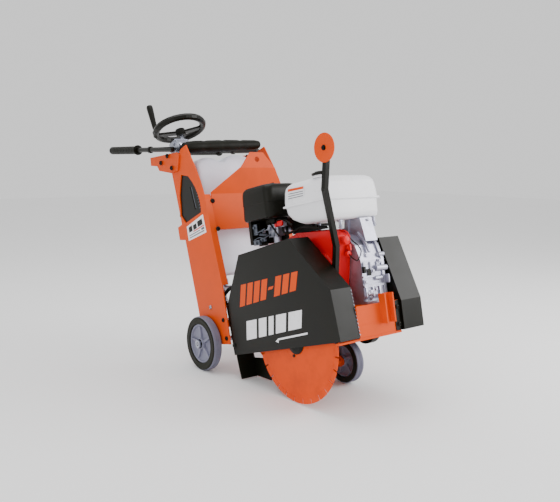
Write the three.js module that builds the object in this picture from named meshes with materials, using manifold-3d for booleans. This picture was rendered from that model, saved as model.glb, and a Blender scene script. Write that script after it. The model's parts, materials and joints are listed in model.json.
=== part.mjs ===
// Walk-behind concrete saw with a 400 mm blade, in millimetres, +Z up.
//
// The saw is drawn in its chassis frame: +X forward, +Y to the operator's left, +Z up,
// with the blade arbor as zero height. That frame is then turned nose-up by the transport
// tilt and lifted so that all four wheels stand on z = 0. The blade and its guard are on
// the right (-Y) and the belts on the left (+Y). The operator stands behind (-X).
import * as THREE from 'three';
import { RoundedBoxGeometry } from 'three/addons/geometries/RoundedBoxGeometry.js';
import * as BufferGeometryUtils from 'three/addons/utils/BufferGeometryUtils.js';
import Module from 'manifold-3d';

const wasm = await Module();
wasm.setup();

// ---------------------------------------------------------------- driving dimensions
const TILT = THREE.MathUtils.degToRad(11.3);      // nose-up stance on the raised front wheels
const ARBOR_HEIGHT = 207;                         // chassis zero above the floor
const SHIFT_X = 529;                              // brings the middle of the saw to x = 0
const SHIFT_Y = 4;
const GAP = 0.4;                                  // clearance between pieces that touch

const ARBOR = { x: -15, z: 0, r: 15 };
const BLADE = { y: -161, r: 200, thick: 3, teeth: 28 };
const FLANGE_R = 40;

const GUARD = { outer: -179, inner: -97, wall: 2.5 };
const GUARD_OUTLINE = [[-357, -52], [218, 6], [200, 161], [29, 332], [-261, 304], [-375, 119]];
const BELT_GUARD = { inner: 90, outer: 183, wall: 2.5 };
const BELT_OUTLINE = [[-205, -20], [226, 4], [226, 97], [160, 304], [-120, 286], [-205, 150]];

const DECK = { top: 98, thick: 6, front: 210, rear: -380, right: -74, left: 87 };
const RAIL = { right: -42, left: 80, thick: 6, bottom: 20, rear: -485 };
const TOWER = { y: 184, thick: 4 };
const CROSS_TUBE = { x: -470, z: 60, size: 30 };

const REAR = { x: -512, z: -5.3, r: 101.5, width: 38, face: 229, axle: 10 };
const FRONT = { x: -97, z: -111.2, r: 79, width: 38, right: -48, left: 96, axle: 9 };
const ARM_PIVOT = { x: -260, z: -85, r: 14 };
const LEVER_PIN = { x: -400, z: 40 };

const WATER = {
  x0: -70, x1: 60, y0: -124, y1: 160, base: 236, lean: THREE.MathUtils.degToRad(12),
  shoulder: 440, notch: 462, humps: [{ from: 160, to: -4, rise: 50 }, { from: -4, to: -124, rise: 37 }],
};
const waterCapAt = [-690, 60, 620];

const VALVE = { x: -478, y: -108, z: 213.6 };

const CRANK = { x: 60, z: 205 };                  // engine crankshaft axis
const CYLINDER_LIFT = THREE.MathUtils.degToRad(25);
const TANK = { x0: -67, x1: 155, y0: -118, y1: 134, seam: 439 };
const PULLEY = { y0: 142, y1: 176, drive: 42, driven: 50 };

const SCREW = { y: -137, r: 8, topX: -628, topZ: 812 };
const HANDWHEEL = { r: 95, rim: 13.5, lift: 32 };
const KNOB_ANGLE = THREE.MathUtils.degToRad(232); // where the crank knob stands on the rim
const BAR = { y: 204, r: 10, rise: TILT };        // handlebars lie level in the transport stance
const POINTER = { x: 104, y: -84.5, z: 120, size: 16, discX: 231, discZ: 580, discR: 44 };
const OIL = { y: 75.5, z: 171 };
const RECOIL = { x: 60, z: 218, r: 56 };

// ---------------------------------------------------------------- paints and metals
const paint = (color, roughness, metalness) =>
  new THREE.MeshStandardMaterial({ color, roughness, metalness });
const ORANGE = paint(0xf4640a, 0.38, 0.0);
const BLACK = paint(0x1c1c14, 0.42, 0.0);
const RUBBER = paint(0x1e1f17, 0.85, 0.0);
const GREY_RUBBER = paint(0x77777f, 0.8, 0.0);
const STEEL = paint(0x9a9ca3, 0.35, 0.9);
const DARK_STEEL = paint(0x45464a, 0.5, 0.7);
const ALUMINIUM = paint(0xb9bbbd, 0.45, 0.7);
const WHITE = paint(0xf0f1f4, 0.4, 0.0);
const RED = paint(0xd81e26, 0.4, 0.0);

// ---------------------------------------------------------------- solids
// Turns a closed geometry into a solid that can be joined and cut.
function solid(geometry) {
  const bare = geometry.clone();
  bare.deleteAttribute('normal');
  bare.deleteAttribute('uv');
  const merged = BufferGeometryUtils.mergeVertices(bare, 1e-3);
  return new wasm.Manifold(new wasm.Mesh({
    numProp: 3,
    vertProperties: new Float32Array(merged.attributes.position.array),
    triVerts: new Uint32Array(merged.index.array),
  }));
}

function toGeometry(body) {
  const mesh = body.getMesh();
  const geometry = new THREE.BufferGeometry();
  geometry.setAttribute('position', new THREE.BufferAttribute(new Float32Array(mesh.vertProperties), 3));
  geometry.setIndex(Array.from(mesh.triVerts));
  geometry.computeVertexNormals();
  return geometry;
}

const join = (first, ...rest) => rest.reduce((body, next) => body.add(next), first);
const cut = (first, ...rest) => rest.reduce((body, next) => body.subtract(next), first);

// A box between two corners, with plain or rounded edges.
function box(x0, x1, y0, y1, z0, z1, radius = 0) {
  const size = [x1 - x0, y1 - y0, z1 - z0];
  const geometry = radius > 0
    ? new RoundedBoxGeometry(...size, 2, radius)
    : new THREE.BoxGeometry(...size);
  geometry.translate((x0 + x1) / 2, (y0 + y1) / 2, (z0 + z1) / 2);
  return solid(geometry);
}

// A round bar between two points, with an optional second radius at its far end.
function bar(from, to, r, sides = 16, r2 = r) {
  const a = new THREE.Vector3(...from);
  const b = new THREE.Vector3(...to);
  const geometry = new THREE.CylinderGeometry(r2, r, a.distanceTo(b), sides);
  const along = b.clone().sub(a).normalize();
  geometry.applyQuaternion(new THREE.Quaternion().setFromUnitVectors(new THREE.Vector3(0, 1, 0), along));
  geometry.translate(...a.add(b).multiplyScalar(0.5).toArray());
  return solid(geometry);
}

const rodY = (at, r, y0, y1, sides = 24) => bar([at.x, y0, at.z], [at.x, y1, at.z], r, sides);

const outline = (points) => new THREE.Shape(points.map(([a, b]) => new THREE.Vector2(a, b)));

// Sheet or block with a side profile of (x, z) points, from y0 to y1.
function plateY(points, y0, y1) {
  const geometry = new THREE.ExtrudeGeometry(outline(points), { depth: y1 - y0, bevelEnabled: false });
  geometry.rotateX(Math.PI / 2);
  geometry.translate(0, y1, 0);
  return solid(geometry);
}

// The same with a front profile of (y, z) points, from x0 to x1.
function plateX(points, x0, x1) {
  const geometry = new THREE.ExtrudeGeometry(outline(points), { depth: x1 - x0, bevelEnabled: false });
  const turn = new THREE.Matrix4().makeBasis(
    new THREE.Vector3(0, 1, 0), new THREE.Vector3(0, 0, 1), new THREE.Vector3(1, 0, 0));
  geometry.applyMatrix4(turn);
  geometry.translate(x0, 0, 0);
  return solid(geometry);
}

// A piece turned about a crosswise axis, from (radius, y) points.
function turned(at, profile, sides = 40) {
  const points = profile.map(([r, y]) => new THREE.Vector2(r, y));
  const geometry = new THREE.LatheGeometry(points, sides);
  geometry.translate(at.x, 0, at.z);
  return solid(geometry);
}

// A tube or bar of the given section swept along a smooth path.
function swept(points, r, steps, sides = 10) {
  const section = new THREE.Shape();
  for (let i = 0; i < sides; i += 1) {
    const angle = (2 * Math.PI * i) / sides;
    const spot = [r * Math.cos(angle), r * Math.sin(angle)];
    if (i === 0) section.moveTo(...spot);
    else section.lineTo(...spot);
  }
  const path = new THREE.CatmullRomCurve3(points.map((p) => new THREE.Vector3(...p)), false, 'centripetal');
  return solid(new THREE.ExtrudeGeometry(section, { steps, extrudePath: path, bevelEnabled: false }));
}

// A profile moved inwards by a wall thickness: every corner goes toward the middle.
function inset(points, wall) {
  const shape = points.map(([x, z]) => new THREE.Vector2(x, z));
  return shape.map((corner, i) => {
    const before = shape[(i + shape.length - 1) % shape.length];
    const after = shape[(i + 1) % shape.length];
    const a = corner.clone().sub(before).normalize();
    const b = after.clone().sub(corner).normalize();
    const half = new THREE.Vector2(-a.y, a.x).add(new THREE.Vector2(-b.y, b.x));
    const step = (2 * wall) / half.lengthSq();
    return [corner.x + half.x * step, corner.y + half.y * step];
  });
}

const saw = new THREE.Group();
const chassis = new THREE.Group();
saw.add(chassis);
saw.name = 'walk_behind_concrete_saw';
chassis.rotation.y = -TILT;
chassis.position.set(SHIFT_X, SHIFT_Y, ARBOR_HEIGHT);

function put(name, body, material) {
  const mesh = new THREE.Mesh(toGeometry(body), material);
  mesh.name = name;
  chassis.add(mesh);
}

// ---------------------------------------------------------------- chassis
function chassisFrame() {
  const { top, thick, front, rear, right, left } = DECK;
  const under = top - thick;
  const parts = [
    box(rear, front, right, left, under, top),
    box(front, front + 4, GUARD.inner, left, 2, top + 2),
    box(front - 8, front + 6, GUARD.outer - 4, left, -4, 2),
    box(CROSS_TUBE.x - 15, CROSS_TUBE.x + 15, -TOWER.y + GAP, TOWER.y - GAP,
      CROSS_TUBE.z - 15, CROSS_TUBE.z + 15),
    box(front - 40, front, right, left, RAIL.bottom, RAIL.bottom + 6),
  ];
  for (const y of [RAIL.right, RAIL.left]) {
    parts.push(box(RAIL.rear, front, y, y + RAIL.thick, RAIL.bottom, under + 1));
    parts.push(pivotHanger(y));
  }
  const bearingFeet = [box(-55, 25, RAIL.right - 6, RAIL.right + 18, RAIL.bottom, RAIL.bottom + 8),
    box(-55, 25, RAIL.left - 12, RAIL.left + RAIL.thick, RAIL.bottom, RAIL.bottom + 8)];
  const guardLugs = [box(-300, -270, GUARD.inner + GAP, right + 1, under, top),
    box(60, 90, GUARD.inner + GAP, right + 1, under, top)];
  const pointerLugs = [
    box(POINTER.x - 16, POINTER.x + 16, POINTER.y + 8 + GAP, right + 3, under, POINTER.z + 14),
    box(POINTER.x - 16, POINTER.x + 16, POINTER.y - 3, right + 1, under, top)];
  let frame = join(...parts, ...bearingFeet, ...guardLugs, ...pointerLugs, frontHook());
  const axleBearings = [REAR, ARM_PIVOT].map((at) => rodY(at, (at.axle ?? at.r) + GAP, -200, 200));
  frame = cut(frame, ...axleBearings);
  return cut(frame, rodY(POINTER, 5.5, POINTER.y - 20, POINTER.y + 30));
}

// Plate that hangs from a rail to carry the swing arm's pivot tube.
function pivotHanger(y) {
  const { x, z } = ARM_PIVOT;
  const profile = [[x - 34, z - 12], [x - 14, z - 26], [x + 14, z - 26], [x + 34, z - 12],
    [x + 50, 30], [x - 50, 30]];
  return plateY(profile, y, y + RAIL.thick);
}

// Upright channel at the front that the lowered pointer rests in.
function frontHook() {
  const x0 = DECK.front + 3;
  const x1 = x0 + 26;
  return join(
    box(x0, x0 + 5, 4, 44, 36, 128),
    box(x0, x1, 4, 9, 36, 128),
    box(x0, x1, 39, 44, 36, 128));
}

const PLATE_OUTLINE = [
  [-425, -12], [-363, -12], [-373, 205], [-405, 390], [-422, 528], [-446, 602], [-474, 664], [-519, 750],
  [-560, 742], [-649, 669], [-622, 504], [-615, 455], [-649, 447], [-645, 397], [-601, 392], [-560, 110],
  [-548, -30], [-480, -30]];
const WINDOW = [
  [-579, 645], [-527, 631], [-503, 606], [-485, 582], [-471, 554], [-463, 528], [-459, 505], [-462, 483],
  [-583, 457], [-614, 490], [-607, 569]];

// Side plate of the operator tower, with its front edge folded inwards.
function sidePlate(side) {
  const inner = side * TOWER.y;
  const outer = side * (TOWER.y + TOWER.thick);
  const y0 = Math.min(inner, outer);
  const y1 = Math.max(inner, outer);
  const fold = side * (TOWER.y - 22);
  const foldLine = [[-373, 205], [-405, 390], [-422, 528], [-427, 545]];
  const foldBack = foldLine.map(([x, z]) => [x - 4, z]).reverse();
  const body = join(
    plateY(PLATE_OUTLINE, y0, y1),
    plateY([...foldLine, ...foldBack], Math.min(fold, outer), Math.max(fold, outer)));
  const axleHole = rodY(REAR, REAR.axle + GAP, y0 - 5, y1 + 5);
  return cut(body, plateY(WINDOW, y0 - 5, y1 + 5), axleHole);
}

// Depth quadrant behind the window: a black sector with a pointer slot.
function depthQuadrant() {
  const sector = [[-600, 668], [-524, 648], [-476, 600], [-450, 546], [-442, 478],
    [-583, 440], [-610, 466], [-632, 489], [-622, 530]];
  const slot = [[-530, 590], [-524, 590], [-504, 500], [-510, 500]];
  const y0 = -TOWER.y + GAP;
  return cut(plateY(sector, y0, y0 + 6), plateY(slot, y0 - 1, y0 + 8));
}

// Folded panel that ties the side plates together, with the lifting eye at its top.
function crossPanel() {
  const width = TOWER.y - 24;
  const low = -425;
  const high = -402;
  const lower = box(low, low + 4, -width, width, 415, 546);
  const flange = box(low - 26, low + 4, -width, width, 411, 415);
  const lean = plateY([[low, 545], [low + 4, 545], [high + 4, 640], [high, 640]], -width, width);
  const leanCut = plateX([[-width, 552], [-30, 641], [-30, 700], [-width - 10, 700],
    [-width - 10, 552]], -500, -300);
  const rightCut = plateX([[width, 590], [width + 10, 590], [width + 10, 700], [134, 700],
    [134, 641]], -500, -300);
  const eyePlate = plateX([[-30, 639], [134, 639], [84, 700], [22, 700]], high, high + 4);
  const eye = bar([high - 10, 52, 672], [high + 20, 52, 672], 11, 20);
  return cut(join(lower, flange, lean, eyePlate), leanCut, rightCut, eye);
}

// Rubber-covered bar across the top of the tower.
function crossBar() {
  const reach = TOWER.y - GAP;
  const spot = (y) => [-547 + 0.022 * y, y, 756 + 0.045 * y];
  return join(
    bar(spot(-reach), spot(reach), 11, 16),
    bar(spot(-120), spot(120), 24, 16),
    bar(spot(4 - reach), spot(-110), 20, 16, 23.5),
    bar(spot(110), spot(reach - 4), 23.5, 16, 14));
}

// Bolted bracket that carries a handlebar behind the tower.
function barBracket(side) {
  const near = side * (TOWER.y + TOWER.thick + GAP);
  const far = near + side * 6;
  const profile = [[-803, 757], [-805, 724], [-752, 712], [-737, 690], [-644, 664], [-590, 664],
    [-566, 722], [-585, 735]];
  const plate = plateY(profile, Math.min(near, far), Math.max(near, far));
  const bolts = [[-651, 734], [-708, 717], [-626, 681]].map(([x, z]) =>
    rodY({ x, z }, 7, Math.min(far, far + side * 5) - 0.5, Math.max(far, far + side * 5) + 0.5, 6));
  return join(plate, ...bolts);
}

const barDirection = [-Math.cos(BAR.rise), 0, Math.sin(BAR.rise)];
const barPoint = (side, along) => [
  -590 + barDirection[0] * along, side * BAR.y, 748 + barDirection[2] * along];

function handlebar(side) {
  const collar = bar(barPoint(side, 182), barPoint(side, 196), BAR.r + 4, 16);
  return join(bar(barPoint(side, 0), barPoint(side, 548), BAR.r, 16), collar);
}

function grip(side) {
  const core = bar(barPoint(side, 300), barPoint(side, 552), BAR.r + GAP, 16);
  const sleeve = bar(barPoint(side, 304), barPoint(side, 560), 17, 20);
  const guardRing = bar(barPoint(side, 300), barPoint(side, 308), 21, 20);
  return cut(join(sleeve, guardRing), core);
}

const screwFoot = [LEVER_PIN.x, SCREW.y, LEVER_PIN.z - 30];
const screwTop = [SCREW.topX, SCREW.y, SCREW.topZ];
const screwAt = (share) => screwFoot.map((value, i) => value + (screwTop[i] - value) * share);

// Bearing block that holds the top of the depth screw and clamps to the side plate.
function screwBlock() {
  const tilt = Math.atan2(screwFoot[0] - screwTop[0], screwTop[2] - screwFoot[2]);
  const geometry = new RoundedBoxGeometry(52, 64, 50, 1, 4);
  geometry.rotateY(-tilt);
  geometry.translate(...screwAt(0.945));
  geometry.translate(-9, -15, -4);
  const arm = box(-606, -574, -TOWER.y + GAP, SCREW.y, 730, 760);
  const body = join(solid(geometry), arm);
  return cut(body, bar(screwAt(0.85), screwAt(1.02), SCREW.r + GAP, 20));
}

function depthScrew() {
  return bar(screwAt(0), screwAt(0.999), SCREW.r, 16);
}

function screwNut() {
  const { x, z } = LEVER_PIN;
  const share = (z - screwFoot[2] + 20) / (screwTop[2] - screwFoot[2]);
  const centre = screwAt(share);
  const block = box(centre[0] - 16, centre[0] + 16, SCREW.y - 13, SCREW.y + 12,
    centre[2] - 14, centre[2] + 14);
  return cut(block, bar(screwAt(share - 0.04), screwAt(share + 0.04), SCREW.r + GAP, 20));
}

// Builds a piece about the screw axis (+Z up the screw) and then lays it on that axis.
function onScrew(geometryBody, share) {
  const along = new THREE.Vector3(...screwTop).sub(new THREE.Vector3(...screwFoot)).normalize();
  const turn = new THREE.Matrix4().makeRotationFromQuaternion(
    new THREE.Quaternion().setFromUnitVectors(new THREE.Vector3(0, 0, 1), along));
  turn.setPosition(...screwAt(share));
  return geometryBody.transform(turn.elements);
}

// Dished handwheel: rim, two flat spokes in a V, a low hub and the crank knob's seat.
function handwheel() {
  const { r, rim, lift } = HANDWHEEL;
  const ring = solid(new THREE.TorusGeometry(r, rim, 8, 28)).translate([0, 0, lift]);
  const hub = bar([0, 0, -2], [0, 0, 26], 19, 20);
  const spokes = [KNOB_ANGLE, KNOB_ANGLE - Math.PI * 0.86].map((angle) =>
    plateY([[4, 8], [r, lift - 5], [r, lift + 3], [4, 18]], -12, 12)
      .rotate([0, 0, THREE.MathUtils.radToDeg(angle)]));
  const seat = [r * Math.cos(KNOB_ANGLE), r * Math.sin(KNOB_ANGLE)];
  const knobSeat = bar([...seat, lift - 6], [...seat, lift + 16], 14, 16);
  const body = join(ring, hub, ...spokes, knobSeat);
  return onScrew(cut(body, bar([0, 0, -10], [0, 0, 2], SCREW.r + GAP, 20)), 1.0);
}

function crankKnob() {
  const x = HANDWHEEL.r * Math.cos(KNOB_ANGLE);
  const y = HANDWHEEL.r * Math.sin(KNOB_ANGLE);
  return onScrew(join(
    bar([x, y, HANDWHEEL.lift + 16 + GAP], [x, y, 62], 9, 16),
    bar([x, y, 60], [x, y, 166], 10, 16, 13)), 1.0);
}

// ---------------------------------------------------------------- water
// Moulded tank that leans with the tower, with two humps along its top.
function waterTank() {
  const { y0, y1, base, x0, x1, shoulder, notch, humps } = WATER;
  const profile = [[y0, 0], [y1, 0], [y1, shoulder]];
  for (const { from, to, rise } of humps) {
    for (let i = 1; i < 8; i += 1) {
      const share = i / 8;
      const hump = Math.sqrt(1 - (2 * share - 1) ** 2);
      profile.push([from + (to - from) * share, shoulder + rise * hump]);
    }
    profile.push(to === y0 ? [y0, shoulder] : [to, notch]);
  }
  const shear = [1, 0, 0, 0, 0, 1, 0, 0, -Math.tan(WATER.lean), 0, 1, 0, -520, 0, base, 1];
  const neck = bar([waterCapAt[0] + 30, ...waterCapAt.slice(1)], waterCapAt, 24, 20);
  return join(plateX(profile, x0, x1).transform(shear), neck);
}

// The filler neck stands out of the back of the tank, on the operator's side.
function waterCap() {
  const [x, y, z] = waterCapAt;
  return join(bar([x - GAP, y, z], [x - 16, y, z], 30, 20), bar([x - 15, y, z], [x - 22, y, z], 22, 20));
}

function waterValve() {
  const { x, y, z } = VALVE;
  return join(
    bar([x, y, z + 22], [x, y, z - 26], 10, 16),
    bar([x, y, z + 12], [x, y, z - 12], 15, 6),
    bar([x, y, z - 24], [x + 38, y, z - 24], 9, 12));
}

function valveLever() {
  const { x, y, z } = VALVE;
  return join(
    bar([x - 15 - GAP, y, z], [x - 24, y, z], 8, 12),
    box(x - 27, x - 22, y - 6, y + 6, z - 24, z + 8));
}

// Hose that loops from the valve into the back of the blade guard.
function waterHose() {
  const { x, y, z } = VALVE;
  return swept([[x + 39.5, y, z - 24], [x + 48, y, z - 24], [-414, -122, 189], [-394, -150, 184],
    [-404, -158, 172], [-434, -159, 158],
    [-424, -158, 140], [-398, -154, 130], [-374, -152, 126]], 7, 26, 8);
}

// ---------------------------------------------------------------- guards
// Folded sheet box, open underneath, made from its side outline.
function hood(points, y0, y1, wall, floorPoints) {
  const outer = plateY(points, y0, y1);
  const hollow = inset(points, wall).map(([x, z], i) => (floorPoints.includes(i) ? [x, z - 60] : [x, z]));
  return cut(outer, plateY(hollow, y0 + wall, y1 - wall));
}

function bladeGuard() {
  const { outer, inner, wall } = GUARD;
  const body = hood(GUARD_OUTLINE, outer, inner, wall, [0, 1]);
  const slot = plateY([[-47, -90], [17, -90], [17, 20], [-5, 34], [-25, 34], [-47, 20]], inner - 6, inner + 3);
  const bolt = rodY({ x: -350, z: -16 }, 8, outer - 5, outer + 0.5, 6);
  return cut(join(body, bolt), slot);
}

// Rubber flap that hangs plumb behind the blade, and its side piece on the inner wall.
function mudFlap() {
  return join(
    plateY([[-354.6, -42], [-350.6, -42], [-333, -138], [-337, -138]], GUARD.outer + 4, GUARD.inner - 4),
    plateY([[-347, -72], [-335, -138], [-252, -150], [-262, -72]], GUARD.inner - 9, GUARD.inner - 5));
}

function beltGuard() {
  const { inner, outer, wall } = BELT_GUARD;
  const body = hood(BELT_OUTLINE, inner, outer, wall, [0, 1]);
  const wheelRoom = box(-215, 190, inner - 1, inner + wall + 1, -60, DECK.top + 4);
  const rearRoom = box(-210, -200, inner - 1, outer - 34, -60, 92);
  const shaftHole = rodY(CRANK, 40, inner - 1, inner + wall + 1);
  const bolts = [[-60, 250], [120, 250], [190, 40]].map(([x, z]) =>
    rodY({ x, z }, 8, outer - 0.5, outer + 5, 6));
  return cut(join(body, ...bolts), wheelRoom, rearRoom, shaftHole);
}

// ---------------------------------------------------------------- engine
function crankcase() {
  const profile = [[-60, 98 + GAP], [172, 98 + GAP], [172, 112], [178, 125], [178, 235],
    [160, 285], [118, 322], [40, 336],
    [-10, 330], [-34, 262], [-34, 170], [-60, 112]];
  const cover = rodY(CRANK, 88, 80, 88.5, 40);
  const standTop = TANK.seam - 66 - GAP;
  const tankStand = plateY([[70, 325], [168, 296], [152, standTop], [80, standTop]], 24, 76);
  const body = join(plateY(profile, -20, 84), cover, tankStand);
  const oilHole = bar([150, OIL.y, OIL.z], [200, OIL.y, OIL.z], 9, 16);
  return cut(body, cylinderBore(), rodY(CRANK, 14, -30, 100), oilHole);
}

const cylinderAxis = [-Math.cos(CYLINDER_LIFT), 0, Math.sin(CYLINDER_LIFT)];
const cylinderPoint = (along, y = 25) => [
  CRANK.x + cylinderAxis[0] * along, y, CRANK.z + cylinderAxis[2] * along];
const cylinderBore = () => bar(cylinderPoint(20), cylinderPoint(120), 47, 32);

// A slab across the cylinder axis, between two distances from the crankshaft.
function slab(from, to, halfWidth, halfHeight) {
  const body = box(from, to, 25 - halfWidth, 25 + halfWidth, -halfHeight, halfHeight);
  return body
    .rotate([0, THREE.MathUtils.radToDeg(Math.PI + CYLINDER_LIFT), 0])
    .translate([CRANK.x, 0, CRANK.z]);
}

function cylinder() {
  const fins = [0, 1, 2, 3, 4, 5].map((i) => slab(116 + i * 11, 120 + i * 11, 45, 50));
  return join(
    slab(114, 178, 36, 40),
    bar(cylinderPoint(60), cylinderPoint(116), 46, 32),
    ...fins,
    slab(176, 200, 42, 46),
    slab(199, 222, 34, 36));
}

function fanShroud() {
  const profile = [[-70, 240], [-50, 158], [0, 112], [78, 112], [114, 166], [140, 290], [143, 322], [104, 342],
    [-57, 352], [-106, 340], [-112, 268]];
  const body = plateY(profile, -70, -22);
  const room = plateY(inset(profile, 6), -64, -15);
  const eye = rodY(RECOIL, 40, -75, -60);
  return cut(body, room, eye);
}

// Domed cover of the rope starter.
function recoilCover() {
  const { r } = RECOIL;
  return turned(RECOIL, [[0, -90], [r - 20, -90], [r - 12, -86], [r, -78], [r, -70 - GAP],
    [0, -70 - GAP]], 32);
}

function starterHandle() {
  return join(
    box(143 + GAP, 150, -54, -46, 300, 310),
    box(149, 163, -58, -42, 290, 320, 5));
}

// Pressed tank in two halves that meet at a flange; its underside slopes up at the rear.
function fuelTank() {
  const { x0, x1, y0, y1, seam } = TANK;
  const upper = roundedSlab(x0 + 4, x1 - 4, y0 + 4, y1 - 4, seam, seam + 78, 8, 14);
  const lower = roundedSlab(x0 + 6, x1 - 6, y0 + 6, y1 - 6, seam - 66, seam, 10, 10);
  const slope = plateY([[x0 - 10, seam - 18], [20, seam - 67], [20, seam - 90],
    [x0 - 10, seam - 90]], y0, y1);
  const flange = roundedSlab(x0, x1, y0, y1, seam - 3, seam + 3, 16, 0);
  const neck = bar([110, -85, seam + 70], [110, -85, seam + 80], 24, 24);
  const feet = [8, 70].map((y) => box(-40, -20, y - 8, y + 8, 337, seam - 20));
  return join(cut(lower, slope), upper, flange, neck, ...feet);
}

// A slab with round upright corners and softened top and bottom edges.
function roundedSlab(x0, x1, y0, y1, z0, z1, corner, bevel) {
  const shape = new THREE.Shape();
  const [a0, a1, b0, b1] = [x0 + bevel, x1 - bevel, y0 + bevel, y1 - bevel];
  shape.moveTo(a0 + corner, b0);
  shape.lineTo(a1 - corner, b0).absarc(a1 - corner, b0 + corner, corner, -Math.PI / 2, 0);
  shape.lineTo(a1, b1 - corner).absarc(a1 - corner, b1 - corner, corner, 0, Math.PI / 2);
  shape.lineTo(a0 + corner, b1).absarc(a0 + corner, b1 - corner, corner, Math.PI / 2, Math.PI);
  shape.lineTo(a0, b0 + corner).absarc(a0 + corner, b0 + corner, corner, Math.PI, 1.5 * Math.PI);
  const geometry = new THREE.ExtrudeGeometry(shape, {
    depth: z1 - z0 - 2 * bevel,
    curveSegments: 3,
    bevelEnabled: bevel > 0,
    bevelThickness: bevel,
    bevelSize: bevel,
    bevelSegments: 2,
  });
  geometry.translate(0, 0, z0 + bevel);
  return solid(geometry);
}

function fuelCap() {
  const z = TANK.seam + 80 + GAP;
  return join(
    bar([110, -85, z], [110, -85, z + 8], 27, 24),
    bar([110, -85, z + 7], [110, -85, z + 12], 17, 24));
}

// Air cleaner box on its black bracket, which shields the space behind the carburettor.
function airCleaner() {
  const shield = plateY([[-258, 416], [-116, 416], [-116, 332], [-258, 332]], -60, -56);
  const intake = bar([-158, -68, 372], [-158, -40, 372], 13 + GAP, 16);
  return join(
    roundedSlab(-262, -96, -148, 4, 414, 532, 10, 8),
    box(-258, -240, -124, -56, 332, 418),
    cut(shield, intake),
    bar([-170, -66, 530], [-170, -66, 542], 9, 12),
    box(-200, -150, -88, -64, 396, 416));
}

function carburettor() {
  return join(
    box(-185, -130, -92, -66, 352, 395),
    box(-132, -94, -92, -80, 381, 402),
    bar([-158, -76, 354], [-158, -76, 318], 14, 20),
    bar([-158, -68, 372], [-158, -22, 372], 13, 16));
}

function muffler() {
  return join(
    roundedSlab(-236, -80, 14, 124, 372, 480, 16, 6),
    bar([-214, 70, 440], [-262, 70, 440], 14, 16));
}

// Small lever on a pivot stub, standing off a face toward -Y.
function lever(at, y, length, lift) {
  return join(
    rodY(at, 7, y - 8, y, 12),
    bar([at.x, y - 6, at.z], [at.x - length, y - 6, at.z + lift], 3, 8),
    bar([at.x - length, y - 12, at.z + lift], [at.x - length, y, at.z + lift], 6, 12));
}

function engineSwitch() {
  return join(bar([140 + GAP, -34, 282], [150, -34, 282], 9, 16), box(149, 156, -37, -31, 272, 292));
}

function oilPlug() {
  const { y, z } = OIL;
  return join(
    bar([152, y, z], [186, y, z], 8, 12),
    bar([178 + GAP, y, z], [186, y, z], 12, 16),
    box(185, 196, y - 2, y + 2, z - 12, z + 12));
}

// ---------------------------------------------------------------- drive
const groove = (r, y) => [[r, y - 7], [r - 9, y - 2.5], [r - 9, y + 2.5], [r, y + 7]];

// A two-groove pulley turned about its shaft.
function pulley(at, r, bore, hubTo) {
  const middle = (PULLEY.y0 + PULLEY.y1) / 2;
  const profile = [[bore, hubTo], [bore + 10, hubTo], [bore + 10, PULLEY.y0], [r, PULLEY.y0],
    ...groove(r, middle - 8), ...groove(r, middle + 8), [r, PULLEY.y1], [bore, PULLEY.y1], [bore, hubTo]];
  return turned(at, profile, 20);
}

function drivePulley() {
  const body = pulley(CRANK, PULLEY.drive, 12, 128);
  return join(body, rodY(CRANK, 12.5, -60, PULLEY.y1 + 2, 24));
}

// Banded V belt that wraps both pulleys with a little clearance.
function driveBelt() {
  const middle = (PULLEY.y0 + PULLEY.y1) / 2;
  const loop = (extra, half) => {
    const driven = PULLEY.driven + extra;
    const drive = PULLEY.drive + extra;
    return join(
      rodY(ARBOR, driven, middle - half, middle + half, 32),
      rodY(CRANK, drive, middle - half, middle + half, 32),
      beltSpan(driven, drive, middle - half, middle + half));
  };
  return cut(loop(6, 15), loop(1, 20));
}

function beltSpan(rDriven, rDrive, y0, y1) {
  const dx = CRANK.x - ARBOR.x;
  const dz = CRANK.z - ARBOR.z;
  const length = Math.hypot(dx, dz);
  const side = [dz / length, -dx / length];
  const corner = (at, r, sign) => [at.x + side[0] * r * sign, at.z + side[1] * r * sign];
  return plateY([corner(ARBOR, rDriven, -1), corner(ARBOR, rDriven, 1),
    corner(CRANK, rDrive, 1), corner(CRANK, rDrive, -1)],
    y0, y1);
}

function arborShaft() {
  const reach = BLADE.y + BLADE.thick / 2;
  return join(
    rodY(ARBOR, ARBOR.r, reach + 12, PULLEY.y1 + 3, 24),
    rodY(ARBOR, 12, BLADE.y - 10, reach + 13, 24),
    rodY(ARBOR, FLANGE_R + 8, reach + GAP, reach + 13, 32),
    rodY({ x: ARBOR.x - 16, z: ARBOR.z - 45 }, 5, BLADE.y - BLADE.thick / 2 - 3, reach + 1, 12));
}

function bearing(y0, y1) {
  const block = plateY([[-60, -14], [-50, -30], [-30, -40], [0, -40], [20, -30], [30, -14],
    [30, RAIL.bottom - GAP],
    [-60, RAIL.bottom - GAP]],
    y0, y1);
  return cut(block, rodY(ARBOR, ARBOR.r + GAP, y0 - 5, y1 + 5, 24));
}

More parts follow.
